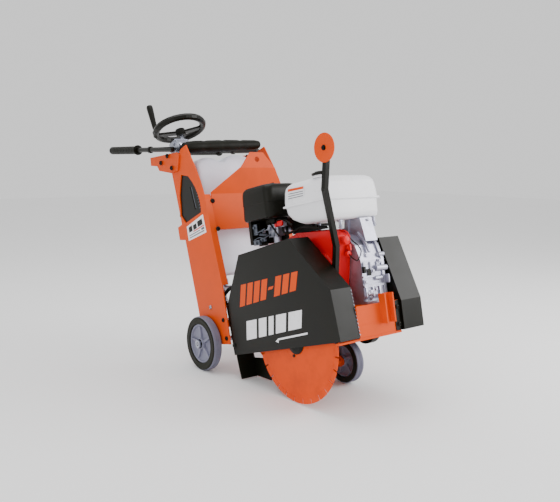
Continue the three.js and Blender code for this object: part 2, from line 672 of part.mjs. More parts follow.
// Segmented diamond blade: gullets between the segments, a bore and a drive-pin hole.
function sawBlade() {
  const { r, teeth, y, thick } = BLADE;
  const shape = new THREE.Shape();
  const pitch = (2 * Math.PI) / teeth;
  const slot = 0.055 * pitch;
  for (let i = 0; i < teeth; i += 1) {
    const start = i * pitch;
    const corners = [[r - 17, start + slot], [r, start + slot], [r, start + pitch / 3], [r, start + (2 * pitch) / 3],
      [r, start + pitch - slot], [r - 17, start + pitch - slot]];
    const spots = corners.map(([radius, angle]) => [radius * Math.cos(angle), radius * Math.sin(angle)]);
    if (i === 0) shape.moveTo(...spots.shift());
    spots.forEach((spot) => shape.lineTo(...spot));
  }
  shape.closePath();
  shape.holes.push(new THREE.Path().absarc(0, 0, 12 + GAP, 0, 2 * Math.PI, true));
  shape.holes.push(new THREE.Path().absarc(-16, -45, 5 + GAP, 0, 2 * Math.PI, true));
  const geometry = new THREE.ExtrudeGeometry(shape, { depth: thick, bevelEnabled: false, curveSegments: 8 });
  geometry.rotateX(Math.PI / 2);
  geometry.translate(ARBOR.x, y + thick / 2, ARBOR.z);
  return solid(geometry);
}

function outerFlange() {
  const y = BLADE.y - BLADE.thick / 2;
  return turned(ARBOR, [[12 + GAP, y - 6], [30, y - 6], [FLANGE_R, y - 3], [FLANGE_R, y - GAP],
    [12 + GAP, y - GAP],
    [12 + GAP, y - 6]], 32);
}

function arborNut() {
  const y = BLADE.y - BLADE.thick / 2 - 6;
  return cut(rodY(ARBOR, 20, y - 5, y - GAP, 6), rodY(ARBOR, 12 + GAP, y - 3.5, y, 24));
}

// ---------------------------------------------------------------- wheels
// Tyre with a flat tread and rounded shoulders; y0 is its right-hand face.
function tyre(at, y0) {
  const { r, width } = at;
  const rim = r * 0.72;
  const y1 = y0 + width;
  return turned(at, [[rim, y0 + 4], [rim + 4, y0], [r - 5, y0], [r, y0 + 6], [r, y1 - 6],
    [r - 5, y1], [rim + 4, y1],
    [rim, y1 - 4], [rim, y0 + 4]], 32);
}

// Cast hub with a dished web, spoke ribs and a bored boss.
function hub(at, y0) {
  const { r, width, axle } = at;
  const rim = r * 0.72 - GAP;
  const y1 = y0 + width;
  const middle = y0 + width / 2;
  const boss = axle + 11;
  const bore = axle + GAP;
  const disc = turned(at, [[bore, y0 + 1], [boss, y0 + 1], [boss, middle - 3], [rim - 6, middle - 3],
    [rim - 5, y0 + 5],
    [rim, y0 + 5], [rim, y1 - 5], [rim - 5, y1 - 5], [rim - 6, middle + 3], [boss, middle + 3], [boss, y1 - 1],
    [bore, y1 - 1], [bore, y0 + 1]], 24);
  const ribs = [0, 1, 2, 3, 4].map((i) => box(boss - 2, rim - 3, -3, 3, y0 + 7, y1 - 7)
    .rotate([90, 0, 0]).rotate([0, 72 * i, 0]));
  const laid = ribs.map((rib) => layRib(rib, at, middle));
  return join(disc, ...laid);
}

// Ribs are drawn flat about the origin; this stands them in the wheel's own plane.
function layRib(rib, at, middle) {
  const bounds = rib.boundingBox();
  const centre = (bounds.min[1] + bounds.max[1]) / 2;
  return rib.translate([at.x, middle - centre, at.z]);
}

function rearAxle() {
  const reach = REAR.face + 4;
  return join(
    rodY(REAR, REAR.axle, -reach, reach, 20),
    rodY(REAR, REAR.axle + 7, -reach - 5, -REAR.face - 1 + 0.5, 6),
    rodY(REAR, REAR.axle + 7, REAR.face + 0.5, reach + 5, 6));
}

// Frame that carries the front wheels: pivot tube, two arms, fixed axle and lift lever.
function swingArm() {
  const arms = [[-30, -24], [89, 93]].map(([y0, y1]) => plateY(
    [[-262, -107], [-97, -131], [-80, -122], [-78, -104], [-92, -92], [-252, -62], [-276, -70],
      [-282, -92]], y0, y1));
  const lever = plateY([[-240, -84], [-254, -107], [-282, -92], [-412, 30], [-412, 48],
    [-396, 54], [-384, 46]], -92, -86);
  return join(
    rodY(ARM_PIVOT, ARM_PIVOT.r, -92, 93, 20),
    ...arms,
    lever,
    rodY({ x: LEVER_PIN.x, z: LEVER_PIN.z }, 7, -122, -87, 16),
    rodY(FRONT, FRONT.axle, FRONT.right - FRONT.width - 6, FRONT.left + FRONT.width + 5, 20),
    rodY(FRONT, FRONT.axle + 6, FRONT.right - FRONT.width - 10, FRONT.right - FRONT.width - 4, 6),
    rodY(FRONT, FRONT.axle + 6, FRONT.left + FRONT.width + 1, FRONT.left + FRONT.width + 6, 6));
}

// ---------------------------------------------------------------- pointer
// Square tube cranked outwards from its pivot to the line of the cut.
function guideArm() {
  const { x, y, z, size } = POINTER;
  const h = size / 2;
  const stations = [[x, y, z - 10], [145, y, 290], [199, -153, 461], [221, -153, 548]];
  const links = stations.slice(1).map((to, i) => squareBar(stations[i], to, h));
  const boss = rodY(POINTER, 15, y - h, y + h, 20);
  const disc = { x: POINTER.discX, z: POINTER.discZ };
  const clampPlate = rodY(disc, 14, -162, -149, 16);
  const stem = squareBar([220, -153, 544], [disc.x, -153, disc.z], 4);
  return cut(join(...links, boss, clampPlate, stem), rodY(POINTER, 5 + GAP, y - 20, y + 20));
}

// Square bar of half width h between two points, a little longer so that bends overlap.
function squareBar(from, to, h) {
  const a = new THREE.Vector3(...from);
  const b = new THREE.Vector3(...to);
  const along = b.clone().sub(a).normalize();
  const across = new THREE.Vector3(0, 1, 0).cross(along).normalize();
  const geometry = new THREE.BoxGeometry(2 * h, 2 * h, a.distanceTo(b) + 1.2 * h);
  geometry.applyMatrix4(new THREE.Matrix4().makeBasis(across, along.clone().cross(across), along));
  geometry.translate(...a.add(b).multiplyScalar(0.5).toArray());
  return solid(geometry);
}

function guideDisc() {
  const at = { x: POINTER.discX, z: POINTER.discZ };
  return join(
    turned(at, [[0, -168], [POINTER.discR, -168], [POINTER.discR, -162 - GAP], [0, -162 - GAP]], 32),
    rodY(at, 8, -173, -167, 6));
}

// ---------------------------------------------------------------- assembly
put('chassis_frame', chassisFrame(), ORANGE);
put('side_plate_right', sidePlate(-1), ORANGE);
put('side_plate_left', sidePlate(1), ORANGE);
put('depth_quadrant', depthQuadrant(), BLACK);
put('cross_panel', crossPanel(), ORANGE);
put('cross_bar', crossBar(), RUBBER);
for (const [name, side] of [['right', -1], ['left', 1]]) {
  put(`bar_bracket_${name}`, barBracket(side), ORANGE);
  put(`handlebar_${name}`, handlebar(side), BLACK);
  put(`grip_${name}`, grip(side), RUBBER);
}
put('screw_block', screwBlock(), STEEL);
put('depth_screw', depthScrew(), STEEL);
put('screw_nut', screwNut(), STEEL);
put('handwheel', handwheel(), BLACK);
put('crank_knob', crankKnob(), BLACK);
put('water_tank', waterTank(), WHITE);
put('water_cap', waterCap(), BLACK);
put('water_valve', waterValve(), STEEL);
put('valve_lever', valveLever(), RED);
put('water_hose', waterHose(), RUBBER);
put('blade_guard', bladeGuard(), BLACK);
put('mud_flap', mudFlap(), RUBBER);
put('belt_guard', beltGuard(), BLACK);
put('crankcase', crankcase(), ALUMINIUM);
put('cylinder', cylinder(), ALUMINIUM);
put('fan_shroud', fanShroud(), RED);
put('recoil_cover', recoilCover(), RED);
put('starter_handle', starterHandle(), RED);
put('fuel_tank', fuelTank(), WHITE);
put('fuel_cap', fuelCap(), BLACK);
put('air_cleaner', airCleaner(), BLACK);
put('carburettor', carburettor(), ALUMINIUM);
put('muffler', muffler(), DARK_STEEL);
put('throttle_lever', lever({ x: -172, z: 382 }, -92 - GAP, 34, -6), STEEL);
put('fuel_lever', lever({ x: -104, z: 392 }, -92 - GAP, 22, -4), RED);
put('engine_switch', engineSwitch(), RED);
put('oil_plug', oilPlug(), ALUMINIUM);
put('drive_pulley', drivePulley(), DARK_STEEL);
put('drive_belt', driveBelt(), RUBBER);
put('driven_pulley', pulley(ARBOR, PULLEY.driven, ARBOR.r + GAP, PULLEY.y0 - 4), DARK_STEEL);
put('arbor_shaft', arborShaft(), STEEL);
put('bearing_right', bearing(RAIL.right - 6, RAIL.right + 18), DARK_STEEL);
put('bearing_left', bearing(RAIL.left - 12, RAIL.left + RAIL.thick), DARK_STEEL);
put('saw_blade', sawBlade(), paint(0xf4500a, 0.4, 0.3));
put('outer_flange', outerFlange(), STEEL);
put('arbor_nut', arborNut(), STEEL);
put('rear_axle', rearAxle(), STEEL);
put('rear_hub_right', hub(REAR, -REAR.face), GREY_RUBBER);
put('rear_tyre_right', tyre(REAR, -REAR.face), GREY_RUBBER);
put('rear_hub_left', hub(REAR, REAR.face - REAR.width), GREY_RUBBER);
put('rear_tyre_left', tyre(REAR, REAR.face - REAR.width), GREY_RUBBER);
put('swing_arm', swingArm(), ORANGE);
put('front_hub_right', hub(FRONT, FRONT.right - FRONT.width), GREY_RUBBER);
put('front_tyre_right', tyre(FRONT, FRONT.right - FRONT.width), GREY_RUBBER);
put('front_hub_left', hub(FRONT, FRONT.left), GREY_RUBBER);
put('front_tyre_left', tyre(FRONT, FRONT.left), GREY_RUBBER);
put('guide_arm', guideArm(), BLACK);
put('guide_disc', guideDisc(), ORANGE);

export default saw;
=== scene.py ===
# Walk-behind concrete saw: the look of every part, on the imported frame.
# Shapes are drawn in the chassis frame in millimetres (+X forward, +Y to the operator's
# left, the blade arbor as zero), then turned and lifted into the row frame in metres.
import json
import math
import bmesh
import bpy
from mathutils import Matrix, Vector


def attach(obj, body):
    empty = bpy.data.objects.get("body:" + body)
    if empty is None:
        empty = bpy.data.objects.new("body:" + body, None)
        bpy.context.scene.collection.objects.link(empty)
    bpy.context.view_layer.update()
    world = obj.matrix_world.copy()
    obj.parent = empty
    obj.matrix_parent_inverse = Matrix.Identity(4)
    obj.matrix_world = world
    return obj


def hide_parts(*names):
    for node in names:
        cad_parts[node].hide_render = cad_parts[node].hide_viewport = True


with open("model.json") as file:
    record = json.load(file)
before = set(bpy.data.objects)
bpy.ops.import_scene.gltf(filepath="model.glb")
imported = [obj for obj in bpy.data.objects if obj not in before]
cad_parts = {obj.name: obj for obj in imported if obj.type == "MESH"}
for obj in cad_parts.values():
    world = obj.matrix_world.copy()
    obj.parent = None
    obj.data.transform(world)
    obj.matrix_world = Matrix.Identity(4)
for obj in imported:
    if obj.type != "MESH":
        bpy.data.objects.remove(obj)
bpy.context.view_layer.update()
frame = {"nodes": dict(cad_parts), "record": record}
NODES = frame["nodes"]

TILT = math.radians(11.3)
CHASSIS = (Matrix.Translation((0.529, 0.004, 0.207))
           @ Matrix.Rotation(-TILT, 4, "Y") @ Matrix.Scale(0.001, 4))

# driving places, in chassis millimetres
ARBOR = (-15.0, 0.0)
GUARD_FACE = -179.0
TOWER_FACE = -188.0
REAR = {"x": -512, "z": -5.3, "r": 101.5, "width": 38, "axle": 10}
KNOB_ANGLE = math.radians(232)
HANDWHEEL_R = 95
FRONT = {"x": -97, "z": -111.2, "r": 79, "width": 38, "axle": 9}
SCREW_TOP = Vector((-628, -137, 812))
SCREW_FOOT = Vector((-400, -137, 10))
SCREW_AXIS = (SCREW_TOP - SCREW_FOOT).normalized()
BAR_AXIS = Vector((-math.cos(TILT), 0, math.sin(TILT)))
X, Y, Z = Vector((1, 0, 0)), Vector((0, 1, 0)), Vector((0, 0, 1))


# ---------------------------------------------------------------- materials
def node(tree, kind, **inputs):
    made = tree.nodes.new(kind)
    for key, value in inputs.items():
        made.inputs[key.replace("_", " ")].default_value = value
    return made


def finish(name, colour, rough, metal=0.0, level=0.5, shade=0.75, patch=9.0, grain=700.0, bump=0.05,
           spread=0.12, dust=0.0):
    """A surface with slow colour patches, dust low down, fine relief and uneven gloss."""
    mat = bpy.data.materials.new(name)
    mat.use_nodes = True
    tree = mat.node_tree
    shader = tree.nodes["Principled BSDF"]
    shader.inputs["Metallic"].default_value = metal
    shader.inputs["Specular IOR Level"].default_value = level
    place = tree.nodes.new("ShaderNodeTexCoord")
    slow = node(tree, "ShaderNodeTexNoise", Scale=patch, Detail=6.0, Roughness=0.62)
    fine = node(tree, "ShaderNodeTexNoise", Scale=grain, Detail=3.0, Roughness=0.55)
    tree.links.new(place.outputs["Object"], slow.inputs["Vector"])
    tree.links.new(place.outputs["Object"], fine.inputs["Vector"])
    ramp = tree.nodes.new("ShaderNodeValToRGB")
    ramp.color_ramp.elements[0].position = 0.3
    ramp.color_ramp.elements[1].position = 0.58
    ramp.color_ramp.elements[0].color = (*[c * shade for c in colour], 1)
    ramp.color_ramp.elements[1].color = (*colour, 1)
    tree.links.new(slow.outputs["Fac"], ramp.inputs["Fac"])
    colour_out = ramp.outputs["Color"]
    if dust > 0:
        colour_out = dusted(tree, place, fine, colour_out, dust)
    tree.links.new(colour_out, shader.inputs["Base Color"])
    gloss = tree.nodes.new("ShaderNodeMapRange")
    gloss.inputs["To Min"].default_value = max(0.05, rough - spread)
    gloss.inputs["To Max"].default_value = min(1.0, rough + spread)
    tree.links.new(slow.outputs["Fac"], gloss.inputs["Value"])
    tree.links.new(gloss.outputs["Result"], shader.inputs["Roughness"])
    relief = node(tree, "ShaderNodeBump", Strength=bump, Distance=0.001)
    tree.links.new(fine.outputs["Fac"], relief.inputs["Height"])
    tree.links.new(relief.outputs["Normal"], shader.inputs["Normal"])
    return mat


def dusted(tree, place, fine, colour_out, dust):
    """Grey cutting dust that thins out with height above the floor."""
    split = tree.nodes.new("ShaderNodeSeparateXYZ")
    tree.links.new(place.outputs["Object"], split.inputs["Vector"])
    height = tree.nodes.new("ShaderNodeMapRange")
    height.inputs["From Min"].default_value = 0.0
    height.inputs["From Max"].default_value = 0.45
    height.inputs["To Min"].default_value = dust
    height.inputs["To Max"].default_value = 0.0
    tree.links.new(split.outputs["Z"], height.inputs["Value"])
    amount = tree.nodes.new("ShaderNodeMath")
    amount.operation = "MULTIPLY"
    tree.links.new(height.outputs["Result"], amount.inputs[0])
    tree.links.new(fine.outputs["Fac"], amount.inputs[1])
    blend = tree.nodes.new("ShaderNodeMix")
    blend.data_type = "RGBA"
    blend.inputs[7].default_value = (0.42, 0.4, 0.37, 1)
    tree.links.new(amount.outputs["Value"], blend.inputs["Factor"])
    tree.links.new(colour_out, blend.inputs[6])
    return blend.outputs[2]


ORANGE = finish("orange_paint", (0.72, 0.07, 0.0), 0.4, level=0.16, shade=0.9, bump=0.03, grain=420,
                dust=0.03)
BLACK = finish("black_paint", (0.0035, 0.0032, 0.0008), 0.33, level=0.22, shade=0.6, bump=0.05,
               grain=520)
PLASTIC = finish("black_plastic", (0.004, 0.0038, 0.001), 0.38, level=0.2, shade=0.7, bump=0.15,
                 grain=900)
RUBBER = finish("rubber", (0.004, 0.004, 0.001), 0.5, level=0.16, shade=0.6, bump=0.25, grain=650)
SIDEWALL = finish("tyre_side", (0.006, 0.0065, 0.001), 0.5, level=0.2, shade=0.6, bump=0.3, grain=500,
                  dust=0.02)
TREAD = finish("tyre_tread", (0.2, 0.2, 0.27), 0.6, level=0.2, shade=0.72, bump=0.3, grain=600)
HUB = finish("hub_plastic", (0.22, 0.22, 0.3), 0.4, level=0.35, shade=0.8, bump=0.1, grain=500)
STEEL = finish("bright_steel", (0.42, 0.44, 0.52), 0.28, metal=1.0, shade=0.6, patch=30, bump=0.06)
ZINC = finish("zinc_plate", (0.16, 0.18, 0.22), 0.35, metal=0.8, shade=0.5, patch=30, bump=0.1)
DARK = finish("dark_steel", (0.014, 0.014, 0.012), 0.42, metal=0.5, level=0.2, shade=0.6, patch=25,
              bump=0.2)
CAST = finish("cast_aluminium", (0.5, 0.5, 0.6), 0.36, metal=0.75, shade=0.66, patch=22, bump=0.35,
              grain=380)
WHITE = finish("white_plastic", (0.9, 0.9, 0.93), 0.28, level=0.5, shade=0.95, bump=0.03)
MILKY = finish("milky_plastic", (0.84, 0.86, 0.97), 0.32, level=0.4, shade=0.9, patch=6, bump=0.05)
RED = finish("red_paint", (0.74, 0.002, 0.008), 0.3, level=0.22, shade=0.85, bump=0.05)
BLADE = finish("blade_paint", (0.75, 0.065, 0.0), 0.4, level=0.16, shade=0.8, patch=14, bump=0.12,
               grain=300,
               spread=0.15)
GREY = finish("grey_print", (0.12, 0.13, 0.16), 0.45, level=0.2, shade=0.8)
DISC = finish("disc_paint", (0.75, 0.07, 0.0), 0.42, level=0.16, shade=0.92, patch=20, bump=0.05)

SLOTS = {"orange": ORANGE, "black_paint": BLACK, "black_plastic": PLASTIC, "rubber": RUBBER,
         "grey_rubber": TREAD,
         "grey_hub": HUB, "steel": STEEL, "dark_steel": DARK, "aluminium": CAST,
         "white_plastic": WHITE, "red": RED}
OWN_FINISH = {"saw_blade": BLADE, "guide_disc": DISC, "water_tank": MILKY}


def dress_cad():
    """Every CAD node takes its slot's finish and a small edge radius."""
    slot_of = {part["node"]: part["material_slot"] for part in frame["record"]["subparts"]}
    for name, obj in NODES.items():
        obj.data.materials.clear()
        obj.data.materials.append(OWN_FINISH.get(name, SLOTS[slot_of[name]]))
        edge = obj.modifiers.new("edge", "BEVEL")
        edge.width = 0.0009
        edge.segments = 2
        edge.limit_method = "ANGLE"
        edge.angle_limit = math.radians(40)


dress_cad()


# ---------------------------------------------------------------- drawing
class Shape:
    """Closed bodies of one piece, in chassis millimetres, each face with its own paint."""

    def __init__(self):
        self.verts = []
        self.faces = []
        self.paints = []
        self.paint = 0

    def add(self, verts, faces):
        start = len(self.verts)
        self.verts += [Vector(v) for v in verts]
        self.faces += [[start + i for i in face] for face in faces]
        self.paints += [self.paint] * len(faces)

    def rings(self, rings, closed=False):
        """Joins rings of equal length; the ends are capped, or joined when closed."""
        count = len(rings[0])
        verts = [v for ring in rings for v in ring]
        faces = []
        spans = len(rings) if closed else len(rings) - 1
        for i in range(spans):
            a, b = i * count, ((i + 1) % len(rings)) * count
            faces += [[a + j, a + (j + 1) % count, b + (j + 1) % count, b + j] for j in range(count)]
        if not closed:
            faces.append(list(range(count)))
            faces.append([len(verts) - count + j for j in range(count)])
        self.add(verts, faces)

    def turn(self, at, axis, profile, n=32, phase=0.0):
        """Turns (radius, height) points about an axis; a profile whose ends meet is a ring."""
        u, v, w = basis(axis)
        at = Vector(at)
        ring_closed = profile[0] == profile[-1]
        points = profile[:-1] if ring_closed else profile
        rings = []
        for radius, height in points:
            reach = max(radius, 0.01)
            level = at + w * height
            turns = [phase + 2 * math.pi * j / n for j in range(n)]
            rings.append([level + (u * math.cos(a) + v * math.sin(a)) * reach for a in turns])
        self.rings(rings, ring_closed)

    def rod(self, a, b, r, r2=None, n=20):
        a, b = Vector(a), Vector(b)
        length = (b - a).length
        r2 = r if r2 is None else r2
        soft = min(0.8, r * 0.2)
        self.turn(a, b - a, [(r - soft, 0), (r, soft), (r2, length - soft), (r2 - soft, length)], n)

    def block(self, x0, x1, y0, y1, z0, z1):
        self.loft([(z0, x0, x1, y0, y1, 0), (z1, x0, x1, y0, y1, 0)])

    def loft(self, sections, steps=6):
        """Rounded rectangles stacked along z: (z, x0, x1, y0, y1, corner radius)."""
        rings = []
        for z, x0, x1, y0, y1, corner in sections:
            ring = []
            c = max(corner, 0.01)
            for cx, cy, start in ((x1 - c, y1 - c, 0), (x0 + c, y1 - c, 90), (x0 + c, y0 + c, 180),
                                  (x1 - c, y0 + c, 270)):
                count = steps if corner > 0 else 1
                for k in range(count):
                    a = math.radians(start + 90 * (k / (count - 1) if count > 1 else 0.5))
                    reach = c if count > 1 else c * 1.41
                    ring.append((cx + reach * math.cos(a), cy + reach * math.sin(a), z))
            rings.append(ring)
        self.rings(rings)

    def plate(self, outline, y0, y1):
        """A side outline of (x, z) points, from y0 to y1."""
        self.rings([[(x, y0, z) for x, z in outline], [(x, y1, z) for x, z in outline]])

    def plate_x(self, outline, x0, x1):
        self.rings([[(x0, y, z) for y, z in outline], [(x1, y, z) for y, z in outline]])

    def tube(self, points, r, n=10, steps=6):
        """A round tube along a smooth curve through the points."""
        path = smooth_path([Vector(p) for p in points], steps)
        rings = []
        u = basis(path[1] - path[0])[0]
        for i, spot in enumerate(path):
            along = (path[min(i + 1, len(path) - 1)] - path[max(i - 1, 0)]).normalized()
            u = (u - along * u.dot(along)).normalized()
            v = along.cross(u)
            rings.append([spot + (u * math.cos(2 * math.pi * j / n) + v * math.sin(2 * math.pi * j / n)) * r
                          for j in range(n)])
        self.rings(rings)

    def bolt(self, at, axis, r=7.0, h=5.0, washer=True):
        """Hexagon head with a chamfered top, on a washer."""
        at, axis = Vector(at), Vector(axis).normalized()
        base = 0.0
        if washer:
            self.turn(at, axis, [(r * 1.35, -0.5), (r * 1.45, 0.3), (r * 1.45, 1.2), (r * 1.35, 1.6)],
                      24)
            base = 1.5
        self.turn(at + axis * base, axis, [(r, 0), (r, h * 0.75), (r * 0.84, h)], 6)

    def dome(self, at, axis, r=8.0, h=4.5):
        """Round-headed bolt with a socket."""
        profile = [(r, -0.5), (r, 0.6), (r * 0.92, h * 0.6), (r * 0.7, h * 0.92), (r * 0.45, h),
                   (r * 0.4, h * 0.5)]
        self.turn(at, axis, profile, 20)

    def nut(self, at, axis, r, h):
        at, axis = Vector(at), Vector(axis).normalized()
        self.turn(at, axis, [(r * 1.3, 0), (r * 1.3, 1.6)], 24)
        self.turn(at + axis * 1.5, axis, [(r, 0), (r, h - 1), (r * 0.85, h)], 6)
        self.turn(at + axis * (1.4 + h), axis, [(r * 0.52, 0), (r * 0.52, h * 0.3),
                                                (r * 0.42, h * 0.42)], 16)

    def coil(self, a, b, r, wire, turns):
        a, b = Vector(a), Vector(b)
        u, v, w = basis(b - a)
        count = turns * 10
        points = [a + (b - a) * (i / count) + (u * math.cos(i * 0.628) + v * math.sin(i * 0.628)) * r
                  for i in range(count + 1)]
        self.tube(points, wire, n=6, steps=1)


def basis(axis):
    w = Vector(axis).normalized()
    u = w.cross(Z if abs(w.z) < 0.9 else X).normalized()
    return u, w.cross(u), w


def smooth_path(points, steps):
    """Catmull-Rom curve through the points."""
    padded = [2 * points[0] - points[1], *points, 2 * points[-1] - points[-2]]
    path = []
    for i in range(1, len(padded) - 2):
        p0, p1, p2, p3 = padded[i - 1:i + 3]
        for k in range(steps):
            t = k / steps
            path.append(0.5 * (2 * p1 + (p2 - p0) * t + (2 * p0 - 5 * p1 + 4 * p2 - p3) * t * t
                               + (3 * p1 - p0 - 3 * p2 + p3) * t ** 3))
    path.append(points[-1])
    return path


def make(name, body, shape, materials, replaces=(), bevel=0.0, sharp=38):
    """Turns a shape into an object that rides on its body."""
    mesh = bpy.data.meshes.new(name)
    mesh.from_pydata([CHASSIS @ v for v in shape.verts], [], shape.faces)
    for material in materials:
        mesh.materials.append(material)
    for polygon, paint in zip(mesh.polygons, shape.paints):
        polygon.material_index = paint
        polygon.use_smooth = True
    build = bmesh.new()
    build.from_mesh(mesh)
    bmesh.ops.recalc_face_normals(build, faces=build.faces)
    build.to_mesh(mesh)
    build.free()
    mesh.set_sharp_from_angle(angle=math.radians(sharp))
    obj = bpy.data.objects.new(name, mesh)
    bpy.context.scene.collection.objects.link(obj)
    if bevel > 0:
        edge = obj.modifiers.new("edge", "BEVEL")
        edge.width = bevel / 1000
        edge.segments = 3
        edge.limit_method = "ANGLE"
        edge.angle_limit = math.radians(35)
        edge.harden_normals = True
    if replaces:
        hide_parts(*replaces)
    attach(obj, body)
    return obj


# ---------------------------------------------------------------- wheels
def tyre(name, body, at, y0):
    """Solid tyre: black side rings with a moulded lip and a pale ribbed tread."""
    r, width = at["r"], at["width"]
    rim = r * 0.72
    side = [(rim, 5), (rim + 0.8, 1.6), (rim + 3, 0.2), (rim + 6, 0.9), (r - 14, 0.9), (r - 10, 0.2),
            (r - 6, 0.5),
            (r - 3.2, 2.2), (r - 2.6, 3.4)]
    tread = [(r - 1.6, 3.6), (r - 0.6, 5), (r, 8), (r, 15), (r - 1, 15.5), (r - 1, 16.5), (r, 17)]
    shape = Shape()
    full = side + tread
    profile = full + [(a, width - b) for a, b in reversed(full)]
    profile.append(profile[0])
    shape.turn((at["x"], y0, at["z"]), Y, profile, 96)
    lanes = len(profile) - 1
    for lane in range(lanes):
        tall = min(lane, lanes - 2 - lane)
        pale = len(side) - 1 <= tall
        for face in range(lane * 96, lane * 96 + 96):
            shape.paints[face] = 1 if pale and lane < lanes - 1 else 0
    make(name + "_detail", body, shape, [SIDEWALL, TREAD], replaces=(name,), sharp=50)


def hub(name, body, at, y0):
    """Dished hub with five broad ribs, a rolled rim and a bushed boss."""
    r, width, axle = at["r"], at["width"], at["axle"]
    rim = r * 0.72 - 0.5
    middle = width / 2
    shape = Shape()
    centre = (at["x"], y0, at["z"])
    half = [(axle + 1, 1.5), (axle + 4, 1), (axle + 9, 1), (axle + 11, 3), (axle + 12, middle - 5),
            (axle + 16, middle - 3.5),
            (rim - 12, middle - 4.5), (rim - 7, middle - 8), (rim - 5.5, 6), (rim - 4, 4.6),
            (rim - 1, 4.6), (rim, 6)]
    profile = half + [(a, width - b) for a, b in reversed(half)]
    profile.append(profile[0])
    shape.turn(centre, Y, profile, 64)
    for side in (0, 1):
        top = 5.5 if side == 0 else width - 5.5
        for i in range(5):
            angle = math.radians(72 * i + 20)
            spoke_rib(shape, at, y0, angle, axle + 9, rim - 4, top, middle)
    for side, sign in ((0, -1), (width, 1)):
        shape.paint = 1
        shape.turn((at["x"], y0 + side, at["z"]), Y * sign,
                   [(axle + 0.9, -3), (axle + 0.9, 0.2), (axle + 3, 0.9), (axle + 6.5, 0.9),
                    (axle + 7.5, -1),
                    (axle + 0.9, -3)], 40)
    make(name + "_detail", body, shape, [HUB, DARK], replaces=(name,), bevel=0.5)


def spoke_rib(shape, at, y0, angle, r0, r1, top, middle):
    """One rib, wide at the boss and narrow at the rim, standing from the dish to the face."""
    out = Vector((math.cos(angle), 0, math.sin(angle)))
    across = Vector((-math.sin(angle), 0, math.cos(angle)))
    base = Vector((at["x"], y0, at["z"]))
    sink = 3 if top > middle else -3
    rings = []
    for reach, half, lift in ((r0, 8, 0.0), ((r0 + r1) / 2, 6, 2.5), (r1, 4.5, 0.5)):
        level = top + (lift if top < middle else -lift)
        rings.append([base + out * reach + across * half + Y * (middle - sink),
                      base + out * reach + across * half * 0.7 + Y * level,
                      base + out * reach - across * half * 0.7 + Y * level,
                      base + out * reach - across * half + Y * (middle - sink)])
    shape.rings(rings)


for name, at, y0 in (("rear_{}_right", REAR, -229), ("rear_{}_left", REAR, 191),
                     ("front_{}_right", FRONT, -86), ("front_{}_left", FRONT, 96)):
    body = name.format("wheel")
    tyre(name.format("tyre"), body, at, y0)
    hub(name.format("hub"), body, at, y0)


def axle_ends():
    """Washers and lock nuts on the axles."""
    shape = Shape()
    for sign in (-1, 1):
        end = Vector((REAR["x"], sign * 233.6, REAR["z"]))
        shape.turn(end - Y * sign * 3.2, Y * sign, [(16, 0), (16, 1.8), (15, 2.2)], 32)
        shape.turn(end, Y * sign, [(10, 0), (10, 3.2), (7, 4.4), (4, 4.4), (3.6, 1)], 24)
    make("rear_axle_ends", "chassis", shape, [DARK], bevel=0.3)


axle_ends()


# ---------------------------------------------------------------- operator's end
def grips():
    """Ribbed rubber sleeves with a flange at the front and a pale end plug."""
    for side, label in ((-1, "right"), (1, "left")):
        start = Vector((-590, side * 204, 748))
        shape = Shape()
        profile = [(10.5, 300), (20.4, 300.4), (21, 301.5), (21, 306.5), (20.4, 307.6), (15.6, 309)]
        for k in range(14):
            at = 316 + k * 15.5
            profile += [(16.3, at), (16.8, at + 1.5), (16.9, at + 11), (16.3, at + 12.5)]
        profile += [(16.6, 540), (17, 546), (17, 556), (15.5, 559), (13.4, 559.6)]
        shape.turn(start, BAR_AXIS, profile, 36)
        shape.paint = 1
        shape.turn(start + BAR_AXIS * 558.9, BAR_AXIS,
                   [(16.6, -3), (16.6, 0), (15.4, 0.9), (8, 1.1), (7, 0.5), (0.5, 0.5)], 32)
        make(f"grip_{label}_detail", f"{label}_handlebar", shape, [RUBBER, STEEL],
             replaces=(f"grip_{label}",))
        tube = Shape()
        tube.turn(start, BAR_AXIS, [(7, 0), (9.2, 0.4), (10, 1.4), (10, 181), (13, 182), (14, 183),
                                    (14, 195), (13, 196),
                                    (10, 197), (10, 546), (9, 547)], 36)
        make(f"handlebar_{label}_detail", f"{label}_handlebar", tube, [BLACK],
             replaces=(f"handlebar_{label}",))


def cross_bar():
    """Foam-covered bar with rounded ends and slight bulges between its ties."""
    shape = Shape()
    profile = [(10, -183), (12, -181), (18, -179)]
    for k in range(25):
        y = -172 + k * 14.2
        swell = 1.0 if k % 6 else -1.2
        taper = min(1.0, 0.78 + 0.02 * (24 - k)) if k > 13 else min(1.0, 0.86 + 0.05 * k)
        profile.append((23 * taper + swell, y))
    profile += [(15, 176), (9, 181), (3, 183)]
    shape.turn((-547, 0, 756), (0.022, 1, 0.045), profile, 40)
    make("cross_bar_detail", "chassis", shape, [RUBBER], replaces=("cross_bar",), sharp=60)


